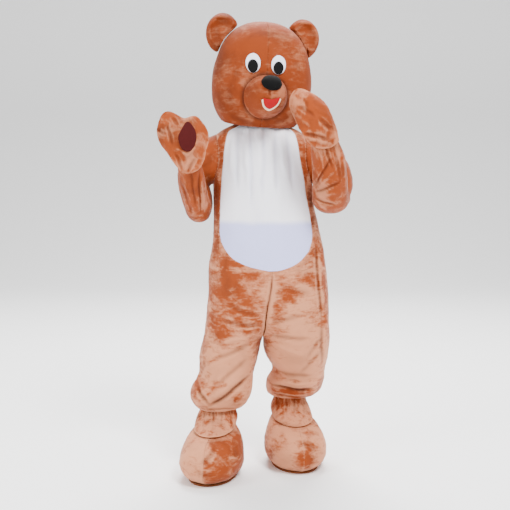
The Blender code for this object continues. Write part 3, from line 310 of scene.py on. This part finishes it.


# patches of nap, partly painted sheen: middle x and z, half-width, half-height, how much paler (over 0) or
# deeper
napSheenPatches = [
    # jumpsuit, from the waist down
    (-0.250, -0.60, 0.035, 0.060, 0.7), (-0.150, -0.60, 0.060, 0.060, -0.7),
    (0.020, -0.62, 0.030, 0.080, 0.7), (0.095, -0.66, 0.035, 0.050, -0.5),
    (-0.060, -0.70, 0.060, 0.050, -0.4), (0.060, -0.76, 0.040, 0.050, -0.5),
    (-0.265, -0.84, 0.030, 0.120, -1.0), (-0.180, -0.80, 0.040, 0.070, -0.5),
    (-0.110, -0.90, 0.060, 0.090, 0.5), (0.150, -0.80, 0.070, 0.110, 0.7),
    (0.120, -0.95, 0.080, 0.060, 0.6), (0.255, -0.60, 0.018, 0.150, -0.9),
    (-0.285, -1.05, 0.030, 0.045, -1.3), (-0.110, -1.085, 0.035, 0.022, -1.3),
    (-0.170, -0.98, 0.070, 0.030, 0.8), (0.115, -1.090, 0.075, 0.013, -1.6),
    (0.160, -1.00, 0.070, 0.030, 0.6), (-0.180, -1.10, 0.060, 0.012, 0.6),
    # boots and spats
    (0.185, -1.31, 0.040, 0.060, -1.3), (0.085, -1.28, 0.050, 0.080, 0.5),
    (-0.130, -1.23, 0.040, 0.020, 0.7), (0.075, -1.15, 0.020, 0.040, -0.8),
    (0.145, -1.13, 0.040, 0.020, -0.8),
    # arms and mitts
    (-0.235, -0.29, 0.014, 0.080, 1.2), (-0.320, -0.22, 0.040, 0.080, -0.7),
    (-0.290, -0.12, 0.040, 0.030, 0.4), (0.290, -0.05, 0.010, 0.080, 0.8),
    (0.345, -0.12, 0.012, 0.120, 0.8), (0.235, -0.24, 0.016, 0.050, 1.0),
    (0.260, -0.14, 0.025, 0.060, -0.6), (0.310, -0.18, 0.025, 0.050, -0.5),
    (0.320, -0.32, 0.040, 0.020, 0.9), (-0.272, -0.20, 0.026, 0.060, -1.0),
    (0.280, -0.06, 0.018, 0.045, 0.5), (-0.405, 0.030, 0.035, 0.040, -0.8),
    (-0.310, -0.130, 0.030, 0.026, 1.0), (-0.283, -0.075, 0.012, 0.030, 0.7),
    (-0.345, 0.050, 0.020, 0.020, -0.6), (0.112, 0.080, 0.012, 0.060, 1.0),
    (0.200, 0.070, 0.050, 0.060, -0.8), (0.190, -0.010, 0.030, 0.014, 0.6),
    (0.160, 0.140, 0.020, 0.014, 0.6),
    # head
    (0.100, 0.395, 0.050, 0.024, 0.7), (-0.075, 0.190, 0.020, 0.012, 1.2),
    (-0.150, 0.130, 0.030, 0.040, 0.3), (0.070, 0.140, 0.025, 0.030, 0.9),
    (-0.030, 0.075, 0.060, 0.012, 0.5), (0.150, 0.270, 0.020, 0.040, 0.5),
    (-0.060, 0.330, 0.080, 0.060, -0.5), (-0.100, 0.060, 0.090, 0.016, 0.3),
    (0.165, 0.345, 0.018, 0.018, 1.1),
]

# folds as seen from the front: x and z of both ends, width, height; a hollow is under 0
suitFolds = {
    "front": [
        # gathers of the front panel under the neck
        (-0.125, 0.01, -0.132, -0.16, 0.009, 0.005), (-0.102, 0.02, -0.106, -0.24, 0.009, -0.006),
        (-0.072, 0.02, -0.076, -0.15, 0.009, 0.005), (-0.047, 0.02, -0.052, -0.30, 0.008, -0.007),
        (-0.024, 0.02, -0.022, -0.13, 0.008, 0.004), (0.002, 0.02, -0.002, -0.27, 0.009, -0.006),
        (0.024, 0.02, 0.030, -0.15, 0.008, 0.005), (0.047, 0.02, 0.056, -0.25, 0.009, -0.006),
        (0.072, 0.02, 0.084, -0.17, 0.009, 0.005), (0.096, 0.02, 0.114, -0.23, 0.009, -0.006),
        (-0.040, -0.24, -0.030, -0.40, 0.018, -0.002), (0.060, -0.20, 0.085, -0.46, 0.018, 0.003),
        (-0.110, -0.28, -0.130, -0.48, 0.018, 0.003),
        # centre seam and the drags that run from it
        (0.040, -0.56, 0.004, -0.84, 0.006, -0.006), (0.052, -0.58, 0.022, -0.82, 0.010, 0.004),
        (-0.010, -0.74, -0.150, -0.70, 0.010, -0.004), (0.000, -0.78, -0.180, -0.77, 0.009, -0.005),
        (-0.012, -0.82, -0.200, -0.86, 0.009, 0.005), (-0.040, -0.86, -0.210, -0.93, 0.010, -0.005),
        (0.020, -0.78, 0.170, -0.73, 0.010, -0.004), (0.020, -0.83, 0.200, -0.84, 0.009, -0.005),
        (0.030, -0.87, 0.190, -0.92, 0.010, 0.005), (-0.200, -0.60, -0.100, -0.66, 0.012, 0.003),
        (0.090, -0.62, 0.200, -0.66, 0.012, -0.003),
        # side seam on the bear's left
        (0.213, -0.45, 0.242, -0.78, 0.006, -0.008), (0.228, -0.47, 0.256, -0.76, 0.008, 0.005),
        (0.242, -0.78, 0.246, -0.98, 0.007, -0.007),
        # slack over the cuffs of both legs
        (-0.045, -0.995, -0.228, -1.121, 0.008, -0.011), (-0.055, -0.975, -0.235, -1.095, 0.012, 0.008),
        (-0.289, -1.031, -0.217, -1.113, 0.008, -0.008), (-0.080, -1.040, -0.150, -1.115, 0.009, 0.005),
        (-0.060, -0.930, -0.200, -1.030, 0.008, -0.005), (-0.100, -0.900, -0.240, -0.980, 0.010, 0.005),
        (-0.235, -0.940, -0.275, -1.010, 0.009, -0.005), (-0.110, -1.128, -0.240, -1.132, 0.005, -0.005),
        (0.245, -0.840, 0.170, -0.930, 0.008, -0.004), (0.245, -0.900, 0.150, -1.000, 0.008, -0.004),
        (0.030, -1.066, 0.230, -1.080, 0.007, -0.010), (0.040, -1.044, 0.240, -1.056, 0.010, 0.008),
        (0.035, -1.108, 0.215, -1.118, 0.005, -0.005),
        (0.060, -1.00, 0.210, -1.015, 0.008, -0.005),
        # trunk beside the panel
        (-0.200, -0.12, -0.190, -0.34, 0.010, -0.005), (0.190, -0.16, 0.206, -0.40, 0.010, -0.005),
    ],
    "back": [
        (-0.16, -0.55, 0.16, -0.58, 0.020, -0.005), (-0.20, -0.70, -0.02, -0.76, 0.016, 0.005),
        (0.02, -0.76, 0.22, -0.69, 0.016, -0.005), (-0.22, -0.93, -0.06, -0.97, 0.014, -0.006),
        (0.06, -0.95, 0.22, -0.92, 0.014, 0.006), (-0.24, -1.05, -0.09, -1.09, 0.012, -0.008),
        (0.05, -1.05, 0.22, -1.06, 0.012, -0.008), (-0.13, -0.10, -0.10, -0.40, 0.018, 0.004),
        (0.10, -0.08, 0.13, -0.36, 0.018, -0.004),
    ],
}
armFolds = {
    "front": [
        # bear's left: a fan out of the elbow, a ridge up the forearm
        (0.196, -0.230, 0.262, -0.100, 0.0043, -0.0083), (0.204, -0.236, 0.285, -0.140, 0.0043, 0.0060),
        (0.200, -0.244, 0.310, -0.190, 0.0050, -0.0083), (0.206, -0.252, 0.310, -0.240, 0.0050, 0.0060),
        (0.204, -0.262, 0.290, -0.290, 0.0050, -0.0075), (0.214, -0.270, 0.260, -0.320, 0.0043, 0.0053),
        (0.300, -0.020, 0.332, -0.260, 0.0050, 0.0060), (0.316, -0.030, 0.340, -0.220, 0.0050, -0.0067),
        (0.236, -0.040, 0.270, -0.150, 0.0050, -0.0060), (0.222, -0.060, 0.236, -0.160, 0.0043, 0.0045),
        (0.275, -0.060, 0.300, -0.200, 0.0056, -0.0045),
        # bear's right: seam ridge up the forearm, creases beside it
        (-0.241, -0.140, -0.240, -0.340, 0.0037, 0.0075), (-0.254, -0.140, -0.254, -0.330, 0.0037, -0.0075),
        (-0.318, -0.160, -0.296, -0.320, 0.0056, 0.0045), (-0.330, -0.190, -0.286, -0.350, 0.0056, -0.0067),
        (-0.284, -0.150, -0.272, -0.300, 0.0050, -0.0060), (-0.225, -0.180, -0.222, -0.330, 0.0037, -0.0053),
        (-0.212, -0.100, -0.206, -0.200, 0.0043, 0.0045), (-0.330, -0.330, -0.260, -0.365, 0.0050, 0.0037),
    ],
    "before": -0.085,  # only what stands in front of this depth
}
mittFolds = {
    "front": [
        # bear's right: round the pad, and across the fingers
        (-0.436, 0.020, -0.372, -0.010, 0.006, -0.005), (-0.430, -0.004, -0.380, -0.030, 0.006, 0.004),
        (-0.366, 0.030, -0.352, -0.060, 0.006, -0.005), (-0.345, -0.060, -0.290, -0.100, 0.006, 0.006),
        (-0.300, -0.105, -0.260, -0.055, 0.006, 0.006), (-0.340, -0.080, -0.318, -0.150, 0.006, -0.005),
        (-0.262, -0.100, -0.300, -0.160, 0.006, -0.005), (-0.290, -0.110, -0.312, -0.165, 0.006, 0.005),
        (-0.352, 0.060, -0.330, 0.020, 0.006, -0.004), (-0.400, 0.060, -0.380, 0.020, 0.007, 0.004),
        # bear's left: creases round the heel of the hand
        (0.128, 0.100, 0.200, 0.050, 0.007, -0.005), (0.118, 0.070, 0.180, 0.010, 0.007, 0.005),
        (0.150, -0.010, 0.250, -0.030, 0.007, -0.006), (0.160, -0.030, 0.270, -0.050, 0.007, 0.006),
        (0.190, 0.090, 0.250, 0.060, 0.008, 0.004), (0.210, 0.050, 0.270, 0.000, 0.008, -0.005),
        (0.150, 0.130, 0.170, 0.080, 0.006, -0.004),
    ],
}
headFolds = {
    "front": [
        (-0.165, 0.20, -0.085, 0.09, 0.010, 0.003), (-0.130, 0.060, -0.010, 0.030, 0.008, -0.003),
        (0.130, 0.085, 0.040, 0.032, 0.008, -0.003), (-0.118, 0.235, -0.080, 0.225, 0.006, -0.002),
        (-0.190, 0.215, -0.120, 0.230, 0.006, -0.002), (0.110, 0.300, 0.150, 0.330, 0.006, -0.002),
        (0.022, 0.165, 0.026, 0.135, 0.0045, -0.004),  # seam under the nose
        (-0.048, 0.200, -0.018, 0.140, 0.007, -0.002), (0.085, 0.180, 0.060, 0.130, 0.007, 0.003),
    ],
}
bootFolds = {
    "front": [
        (-0.262, -1.27, -0.200, -1.215, 0.008, 0.006), (-0.250, -1.30, -0.180, -1.245, 0.009, -0.005),
        (-0.120, -1.22, -0.100, -1.30, 0.009, -0.004), (-0.270, -1.33, -0.200, -1.34, 0.012, -0.004),
        (0.060, -1.215, 0.170, -1.225, 0.008, -0.006), (0.050, -1.235, 0.200, -1.250, 0.009, 0.005),
        (0.140, -1.26, 0.225, -1.30, 0.010, -0.004), (0.030, -1.30, 0.090, -1.34, 0.010, 0.004),
    ],
}
gathers = {  # round the ankles: middle, foot and top of each spat, then the row of little folds
    "spats": ((-0.188, -1.20, -1.12), (0.119, -1.19, -1.11)), "count": 9, "apart": 0.0185,
    "drift": 0.003, "driftWave": 2.3, "flare": 1.1, "longer": 0.01, "width": 0.0045, "height": 0.003,
}
for middle, spatLow, spatHigh in gathers["spats"]:
    for step in range(gathers["count"]):
        shift = (step - gathers["count"] // 2) * gathers["apart"]
        shift += gathers["drift"] * math.sin(step * gathers["driftWave"])
        odd = step % 2
        foot = (middle + shift * gathers["flare"], spatLow - gathers["longer"] * odd)
        height = gathers["height"] - 2 * gathers["height"] * odd  # ridge and hollow in turn
        bootFolds["front"].append((middle + shift, spatHigh, *foot, gathers["width"], height))

# unevenness of all the cloth, slow and quick: size and height
crumple = {"wide": (0.085, 0.0034), "fine": (0.026, 0.0013), "squash": 1.6, "seed": 11}
noise.seed_set(crumple["seed"])  # unset, it follows the clock


def crumpled(p):  # one field for the whole costume, so neighbours move together and seams stay shut
    size, height = crumple["wide"]
    fineSize, fineHeight = crumple["fine"]
    quick = Vector((p.x, p.y, p.z * crumple["squash"])) / fineSize
    return noise.noise_vector(p / size) * height + noise.noise_vector(quick) * fineHeight


dressing = {
    "mergeWithin": 0.00002, "quadFlat": 50, "quadShape": 60, "sharpFrom": 58, "shadeTo": 50, "rimSteps": 4,
    # painted shade in hollows and round the foot of a piece, painted highlight on ridges and fold lips
    "sideOff": 0.15, "sideFade": 0.45, "depthFade": 0.03, "fullShade": 0.010, "fullRidgeHighlight": 0.008,
    "lipHighlightShare": 0.6, "seamWidth": 0.0055, "most": 1.5,
    "footShade": 0.95, "footFrom": 0.004, "footWidth": 0.009, "footBehind": -0.215,
}


def smoothCopy(name, node, material, levels):  # the copy, and points along its sharp edges
    solid = nodes[node]
    obj = solid.copy()
    obj.data = solid.data.copy()
    for key in list(obj.keys()):
        del obj[key]
    obj.parent = None
    obj.name = obj.data.name = name
    bpy.context.scene.collection.objects.link(obj)
    obj.data.materials.clear()
    obj.data.materials.append(material)
    makeActive(obj)
    bpy.ops.object.mode_set(mode="EDIT")
    bpy.ops.mesh.select_all(action="SELECT")
    bpy.ops.mesh.remove_doubles(threshold=dressing["mergeWithin"])
    bpy.ops.mesh.tris_convert_to_quads(face_threshold=math.radians(dressing["quadFlat"]),
                                       shape_threshold=math.radians(dressing["quadShape"]))
    bpy.ops.mesh.select_all(action="DESELECT")
    bpy.ops.mesh.select_mode(type="EDGE")
    bpy.ops.mesh.edges_select_sharp(sharpness=math.radians(dressing["sharpFrom"]))
    bpy.ops.transform.edge_crease(value=1.0)
    bpy.ops.object.mode_set(mode="OBJECT")
    rims = []
    for edge in obj.data.edges:
        if edge.select:
            first, last = edge.vertices
            start, end = obj.data.vertices[first].co, obj.data.vertices[last].co
            rims += [start.lerp(end, step / dressing["rimSteps"]) for step in range(dressing["rimSteps"])]
    smooth = obj.modifiers.new("smooth", "SUBSURF")
    smooth.levels = smooth.render_levels = levels
    bpy.ops.object.modifier_apply(modifier="smooth")
    return obj, rims


def howFar(points, posts):  # from each point to the post nearest to it
    tree = kdtree.KDTree(len(posts))
    for number, post in enumerate(posts):
        tree.insert(post, number)
    tree.balance()
    return np.array([tree.find(p)[2] for p in points])


def readMesh(obj, label):
    flat = np.zeros(len(obj.data.vertices) * 3)
    obj.data.vertices.foreach_get(label, flat)
    return flat.reshape(-1, 3)


def foldedFields(obj, points, folds):  # the push in y, painted shade of the hollows, lean of the nap with painted highlight on ridges and fold lips
    side = "front" if "front" in folds else "back"
    across = np.abs(readMesh(obj, "normal")[:, 1])
    turned = np.clip((across - dressing["sideOff"]) / dressing["sideFade"], 0, 1)  # none at the side seams
    push, lipHighlight = foldField(points, folds[side])
    if "before" in folds:
        turned *= np.clip((folds["before"] - points[:, 1]) / dressing["depthFade"], 0, 1)
    push, lipHighlight = push * turned, lipHighlight * turned
    # painted shade in the hollows of the folds
    tone = np.where(push < 0, push / dressing["fullShade"], 0)
    # painted highlight on the lips and ridges of the folds
    leanAndSheen = dressing["lipHighlightShare"] * lipHighlight + np.where(push > 0, push / dressing["fullRidgeHighlight"], 0)
    if side == "front":
        # patches of paler or deeper nap, partly painted sheen
        leanAndSheen += leanAndSheenField(points, napSheenPatches) * turned
    return (push if side == "back" else -push), tone, leanAndSheen


# stands for a imported solid; slack is how crumpled it is, seamHighlight how much painted highlight the pile
# standing up along its seams gets
def dressed(name, node, material, folds, levels, slack=1.0, seamHighlight=0.8, beside=()):
    obj, rims = smoothCopy(name, node, material, levels)
    points = readMesh(obj, "co")
    moved = points.copy()
    tone, leanAndSheen = np.zeros(len(points)), np.zeros(len(points))
    if folds:
        push, tone, leanAndSheen = foldedFields(obj, points, folds)
        moved[:, 1] += push
    # painted highlight where the pile stands up along the seams
    if rims and seamHighlight:
        leanAndSheen += seamHighlight * np.exp(-((howFar(points, rims) / dressing["seamWidth"]) ** 2))
    if beside:  # painted shade round the foot of a piece that stands on it
        posts = [v.co for other in beside for v in nodes[other].data.vertices
                 if v.co.y > dressing["footBehind"]]
        clear = np.maximum(0, howFar(points, posts) - dressing["footFrom"])
        tone -= dressing["footShade"] * np.exp(-((clear / dressing["footWidth"]) ** 2))
    moved += slack * np.array([crumpled(Vector(p)) for p in points])
    obj.data.vertices.foreach_set("co", moved.ravel())
    # painted shade and painted highlight, stored for the materials
    for label, values in (("paintedShade", tone), ("leanAndSheen", leanAndSheen)):
        stored = obj.data.attributes.new(label, "FLOAT", "POINT")
        kept = np.clip(values, -dressing["most"], dressing["most"])
        stored.data.foreach_set("value", kept.astype(np.float32))
    obj.data.update()
    bpy.ops.object.shade_smooth_by_angle(angle=math.radians(dressing["shadeTo"]))
    obj.select_set(False)
    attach(obj, "root")
    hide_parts(node)
    return obj


made = {}

# jumpsuit: four long panels and the white front panel
suitCuts = {  # flat cut of each panel: width, length and area
    "front_right": ((0.302, 1.218), 0.294), "front_left": ((0.313, 1.202), 0.301),
    "back_right": ((0.425, 1.218), 0.414), "back_left": ((0.410, 1.202), 0.395),
}
for node, (flat, area) in suitCuts.items():
    side = node.split("_")[0]
    half = plush["suitRight" if node.endswith("right") else "suitLeft"]
    made[node] = dressed("suit_" + node, node, half, {side: suitFolds[side]}, 3 if side == "front" else 2)
made["belly"] = dressed("bib", "belly", cloth["white"], {"front": suitFolds["front"]}, 2)
print("stage: jumpsuit")

# sleeves
sleeveCuts = {
    "sleeve_front_right": ((0.386, 0.309), 0.0953), "sleeve_front_left": ((0.478, 0.290), 0.111),
    "sleeve_back_right": ((0.441, 0.374), 0.1318), "sleeve_back_left": ((0.501, 0.399), 0.1598),
}
for node, (flat, area) in sleeveCuts.items():
    made[node] = dressed(node + "_cloth", node, plush["arm"], armFolds, 3)
print("stage: sleeves")

# mitts and their pads
mittCuts = {
    "mitt_palm_right": ((0.202, 0.242), 0.0391), "mitt_palm_left": ((0.199, 0.222), 0.0353),
    "mitt_back_right": ((0.228, 0.202), 0.0369), "mitt_back_left": ((0.190, 0.233), 0.0353),
    "paw_pad_right": ((0.067, 0.118), 0.0063), "paw_pad_left": ((0.069, 0.112), 0.0062),
}
for node, (flat, area) in mittCuts.items():
    isPad = node.startswith("paw")
    made[node] = dressed(node + "_cloth", node, cloth["pad"] if isPad else plush["arm"],
                         None if isPad else mittFolds, 2 if isPad else 3)
print("stage: mitts")

# head, ears and face
headSlack, headSeamHighlight = 0.5, 0.5  # a stuffed head is smoother than the suit
headCuts = {
    "head_face_right": ((0.411, 0.435), 0.1432), "head_face_left": ((0.411, 0.435), 0.1432),
    "head_back_right": ((0.365, 0.412), 0.1203), "head_back_left": ((0.365, 0.412), 0.1203),
    "ear_front_right": ((0.141, 0.162), 0.0182), "ear_front_left": ((0.132, 0.159), 0.0168),
    "ear_back_right": ((0.130, 0.162), 0.0169), "ear_back_left": ((0.122, 0.159), 0.0155),
    "muzzle_right": ((0.242, 0.170), 0.0328), "muzzle_left": ((0.233, 0.170), 0.0316),
}
for node, (flat, area) in headCuts.items():
    plain = node.startswith("ear") or node.startswith("head_back")
    made[node] = dressed(node + "_cloth", node, plush["head"], None if plain else headFolds,
                         3 if node.startswith("muzzle") else 2, slack=headSlack, seamHighlight=headSeamHighlight,
                         beside=("muzzle_right", "muzzle_left") if node.startswith("head_face") else ())
faceCuts = {
    "eye_white_right": ("eye", "white_felt", (0.062, 0.078), 0.0039),
    "eye_white_left": ("eye", "white_felt", (0.061, 0.078), 0.0038),
    "pupil_right": ("black", "black_felt", (0.044, 0.052), 0.0019),
    "pupil_left": ("black", "black_felt", (0.044, 0.052), 0.0019),
    "mouth_lining": ("red", "red_felt", (0.046, 0.066), 0.0024),
    "lip_trim": ("cream", "cream_felt", (0.021, 0.076), 0.0013),
}
for node, (material, slotName, flat, area) in faceCuts.items():
    made[node] = dressed(node + "_cloth", node, cloth[material], None, 2, slack=headSlack)
made["nose"] = dressed("nose_pad", "nose", cloth["nose"], None, 2, slack=headSlack)
print("stage: head")

# boots, spats and soles
bootNap = {"boot_inner_right": "bootDeep", "boot_outer_right": "bootPale"}  # left ones are between
bootCuts = {
    "boot_inner_right": ((0.345, 0.427), 0.1179), "boot_outer_right": ((0.346, 0.427), 0.1183),
    "boot_inner_left": ((0.346, 0.427), 0.1183), "boot_outer_left": ((0.345, 0.427), 0.1179),
    "spat_right": ((0.277, 0.300), 0.0665), "spat_left": ((0.277, 0.300), 0.0665),
}
for node, (flat, area) in bootCuts.items():
    kind = "spat" if node.startswith("spat") else bootNap.get(node, "bootMid")
    made[node] = dressed(node + "_cloth", node, plush[kind], bootFolds, 3)
for node in ("sole_right", "sole_left"):
    made[node] = dressed(node + "_cloth", node, cloth["sole"], None, 1, slack=0.0)
print("stage: boots")

# zip: tape, teeth and slider
zipSettings = {
    "flat": (0.018, 0.656), "area": 0.0097, "top": 0.028, "bottom": -0.600, "pitch": 0.0032,
    "tooth": (0.0030, 0.0016, 0.0018), "toothBevel": 0.0004, "toothAside": 0.0011, "toothLift": 0.0006,
    "slider": (0.0085, 0.0040, 0.0130), "sliderBevel": 0.0009, "sliderAbove": 0.006, "sliderLift": 0.0022,
    "reach": 0.02, "roughness": 0.38,
}
made["back_zip"] = dressed("zip_tape", "back_zip", cloth["tape"], None, 1)
toothMaterial = bpy.data.materials.new("zipTeeth")
toothMaterial.use_nodes = True
toothShader = toothMaterial.node_tree.nodes["Principled BSDF"]
toothShader.inputs["Base Color"].default_value = (*look["tooth"], 1)
toothShader.inputs["Roughness"].default_value = zipSettings["roughness"]


def onTape(z):  # middle of the tape's outer face at a height, and how it slopes there
    tape = made["back_zip"]
    near = [v.co for v in tape.data.vertices if abs(v.co.z - z) < zipSettings["reach"]]
    middle = (min(p.x for p in near) + max(p.x for p in near)) / 2
    hit, spot, normal, _ = tape.ray_cast(Vector((middle, 1.0, z)), Vector((0, -1, 0)))
    if not hit:
        spot, normal = Vector((middle, max(p.y for p in near), z)), Vector((0, 1, 0))
    return spot, math.atan2(normal.z, normal.y)


deselectAll()
bpy.ops.mesh.primitive_cube_add(size=1)
firstTooth = bpy.context.object
bpy.ops.object.mode_set(mode="EDIT")
bpy.ops.transform.resize(value=zipSettings["tooth"])
bpy.ops.mesh.bevel(offset=zipSettings["toothBevel"], segments=1, affect="EDGES")
bpy.ops.object.mode_set(mode="OBJECT")
teeth = []
z = zipSettings["bottom"]
while z < zipSettings["top"]:
    spot, slope = onTape(z)
    tooth = firstTooth.copy()
    tooth.data = firstTooth.data.copy()
    bpy.context.scene.collection.objects.link(tooth)
    tooth.rotation_euler = (slope, 0, 0)
    aside = zipSettings["toothAside"] * (1 if len(teeth) % 2 else -1)  # from the two sides in turn
    tooth.location = spot + Vector((aside, zipSettings["toothLift"], 0))
    teeth.append(tooth)
    z += zipSettings["pitch"]
bpy.data.objects.remove(firstTooth)
deselectAll()
for tooth in teeth:
    tooth.select_set(True)
bpy.context.view_layer.objects.active = teeth[0]
bpy.ops.object.join()
zipTeeth = bpy.context.object
zipTeeth.name = "zip_teeth"
bpy.ops.object.transform_apply(location=True, rotation=True, scale=True)
zipTeeth.data.materials.clear()
zipTeeth.data.materials.append(toothMaterial)
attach(zipTeeth, "root")

spot, slope = onTape(zipSettings["top"] + zipSettings["sliderAbove"])
deselectAll()
bpy.ops.mesh.primitive_cube_add(size=1, location=spot + Vector((0, zipSettings["sliderLift"], 0)),
                                rotation=(slope, 0, 0))
slider = bpy.context.object
slider.name = "zip_slider"
bpy.ops.object.mode_set(mode="EDIT")
bpy.ops.transform.resize(value=zipSettings["slider"], orient_type="LOCAL")
bpy.ops.mesh.subdivide(number_cuts=1)
bpy.ops.mesh.bevel(offset=zipSettings["sliderBevel"], segments=2, affect="EDGES")
bpy.ops.object.mode_set(mode="OBJECT")
bpy.ops.object.transform_apply(location=True, rotation=True, scale=True)
bpy.ops.object.shade_smooth_by_angle(angle=math.radians(40))
slider.data.materials.append(toothMaterial)
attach(slider, "root")
print("stage: zip")

# paper floor that turns up into a backdrop, lights and camera
floorSettings = {"size": 26, "middleY": -4, "backdrop": 12, "cove": 3.0, "coveSteps": 14, "roughness": 0.9}
floorMaterial = bpy.data.materials.new("paper")
floorMaterial.use_nodes = True
floorShader = floorMaterial.node_tree.nodes["Principled BSDF"]
floorShader.inputs["Base Color"].default_value = (*look["paper"], 1)
floorShader.inputs["Roughness"].default_value = floorSettings["roughness"]
deselectAll()
bpy.ops.mesh.primitive_plane_add(size=floorSettings["size"], location=(0, floorSettings["middleY"], floorZ))
floor = bpy.context.object
bpy.ops.object.mode_set(mode="EDIT")
bpy.ops.mesh.select_all(action="DESELECT")
bpy.ops.object.mode_set(mode="OBJECT")
for edge in floor.data.edges:  # the far side is drawn up
    edge.select = all(floor.data.vertices[i].co.y > 0 for i in edge.vertices)
for vertex in floor.data.vertices:
    vertex.select = vertex.co.y > 0
bpy.ops.object.mode_set(mode="EDIT")
bpy.ops.mesh.extrude_region_move(TRANSFORM_OT_translate={"value": (0, 0, floorSettings["backdrop"])})
bpy.ops.object.mode_set(mode="OBJECT")
for edge in floor.data.edges:  # and rounded where it leaves the floor
    ends = [floor.data.vertices[i].co for i in edge.vertices]
    edge.select = all(end.y > 0 and end.z < 1 for end in ends)
bpy.ops.object.mode_set(mode="EDIT")
bpy.ops.mesh.bevel(offset=floorSettings["cove"], segments=floorSettings["coveSteps"], affect="EDGES")
bpy.ops.object.mode_set(mode="OBJECT")
bpy.ops.object.shade_smooth_by_angle(angle=math.radians(40))
floor.name = "floor"
floor.data.materials.append(floorMaterial)

worldStrength = 0.95
world = bpy.data.worlds.new("studio")
world.use_nodes = True
background = world.node_tree.nodes["Background"]
background.inputs["Color"].default_value = (1.0, 1.0, 1.0, 1)
background.inputs["Strength"].default_value = worldStrength
bpy.context.scene.world = world
lamps = {  # place, size, power; all turned to the costume's middle
    "key": ((1.5, -2.8, 3.2), 1.4, 350), "fill": ((-3.0, -2.2, 1.2), 1.6, 95),
    "backdrop": ((0.0, 3.0, 4.2), 3.0, 900),
}
lampsAt = Vector((0, 0, -0.5))
for name, (lampPlace, size, power) in lamps.items():
    deselectAll()
    bpy.ops.object.light_add(type="AREA", location=lampPlace)
    lamp = bpy.context.object
    lamp.name, lamp.data.size, lamp.data.energy = name, size, power
    lamp.rotation_euler = (lampsAt - Vector(lampPlace)).to_track_quat("-Z", "Y").to_euler()

cameraSettings = {"place": (-0.033, -4.2, -0.13), "down": 5.12, "sensor": 36, "lens": 70.87, "far": 200}
deselectAll()
bpy.ops.object.camera_add(location=cameraSettings["place"],
                          rotation=(math.radians(90 - cameraSettings["down"]), 0, 0))
camera = bpy.context.object
camera.data.sensor_width = cameraSettings["sensor"]
camera.data.lens = cameraSettings["lens"]
camera.data.clip_end = cameraSettings["far"]
bpy.context.scene.camera = camera
print("stage: studio")
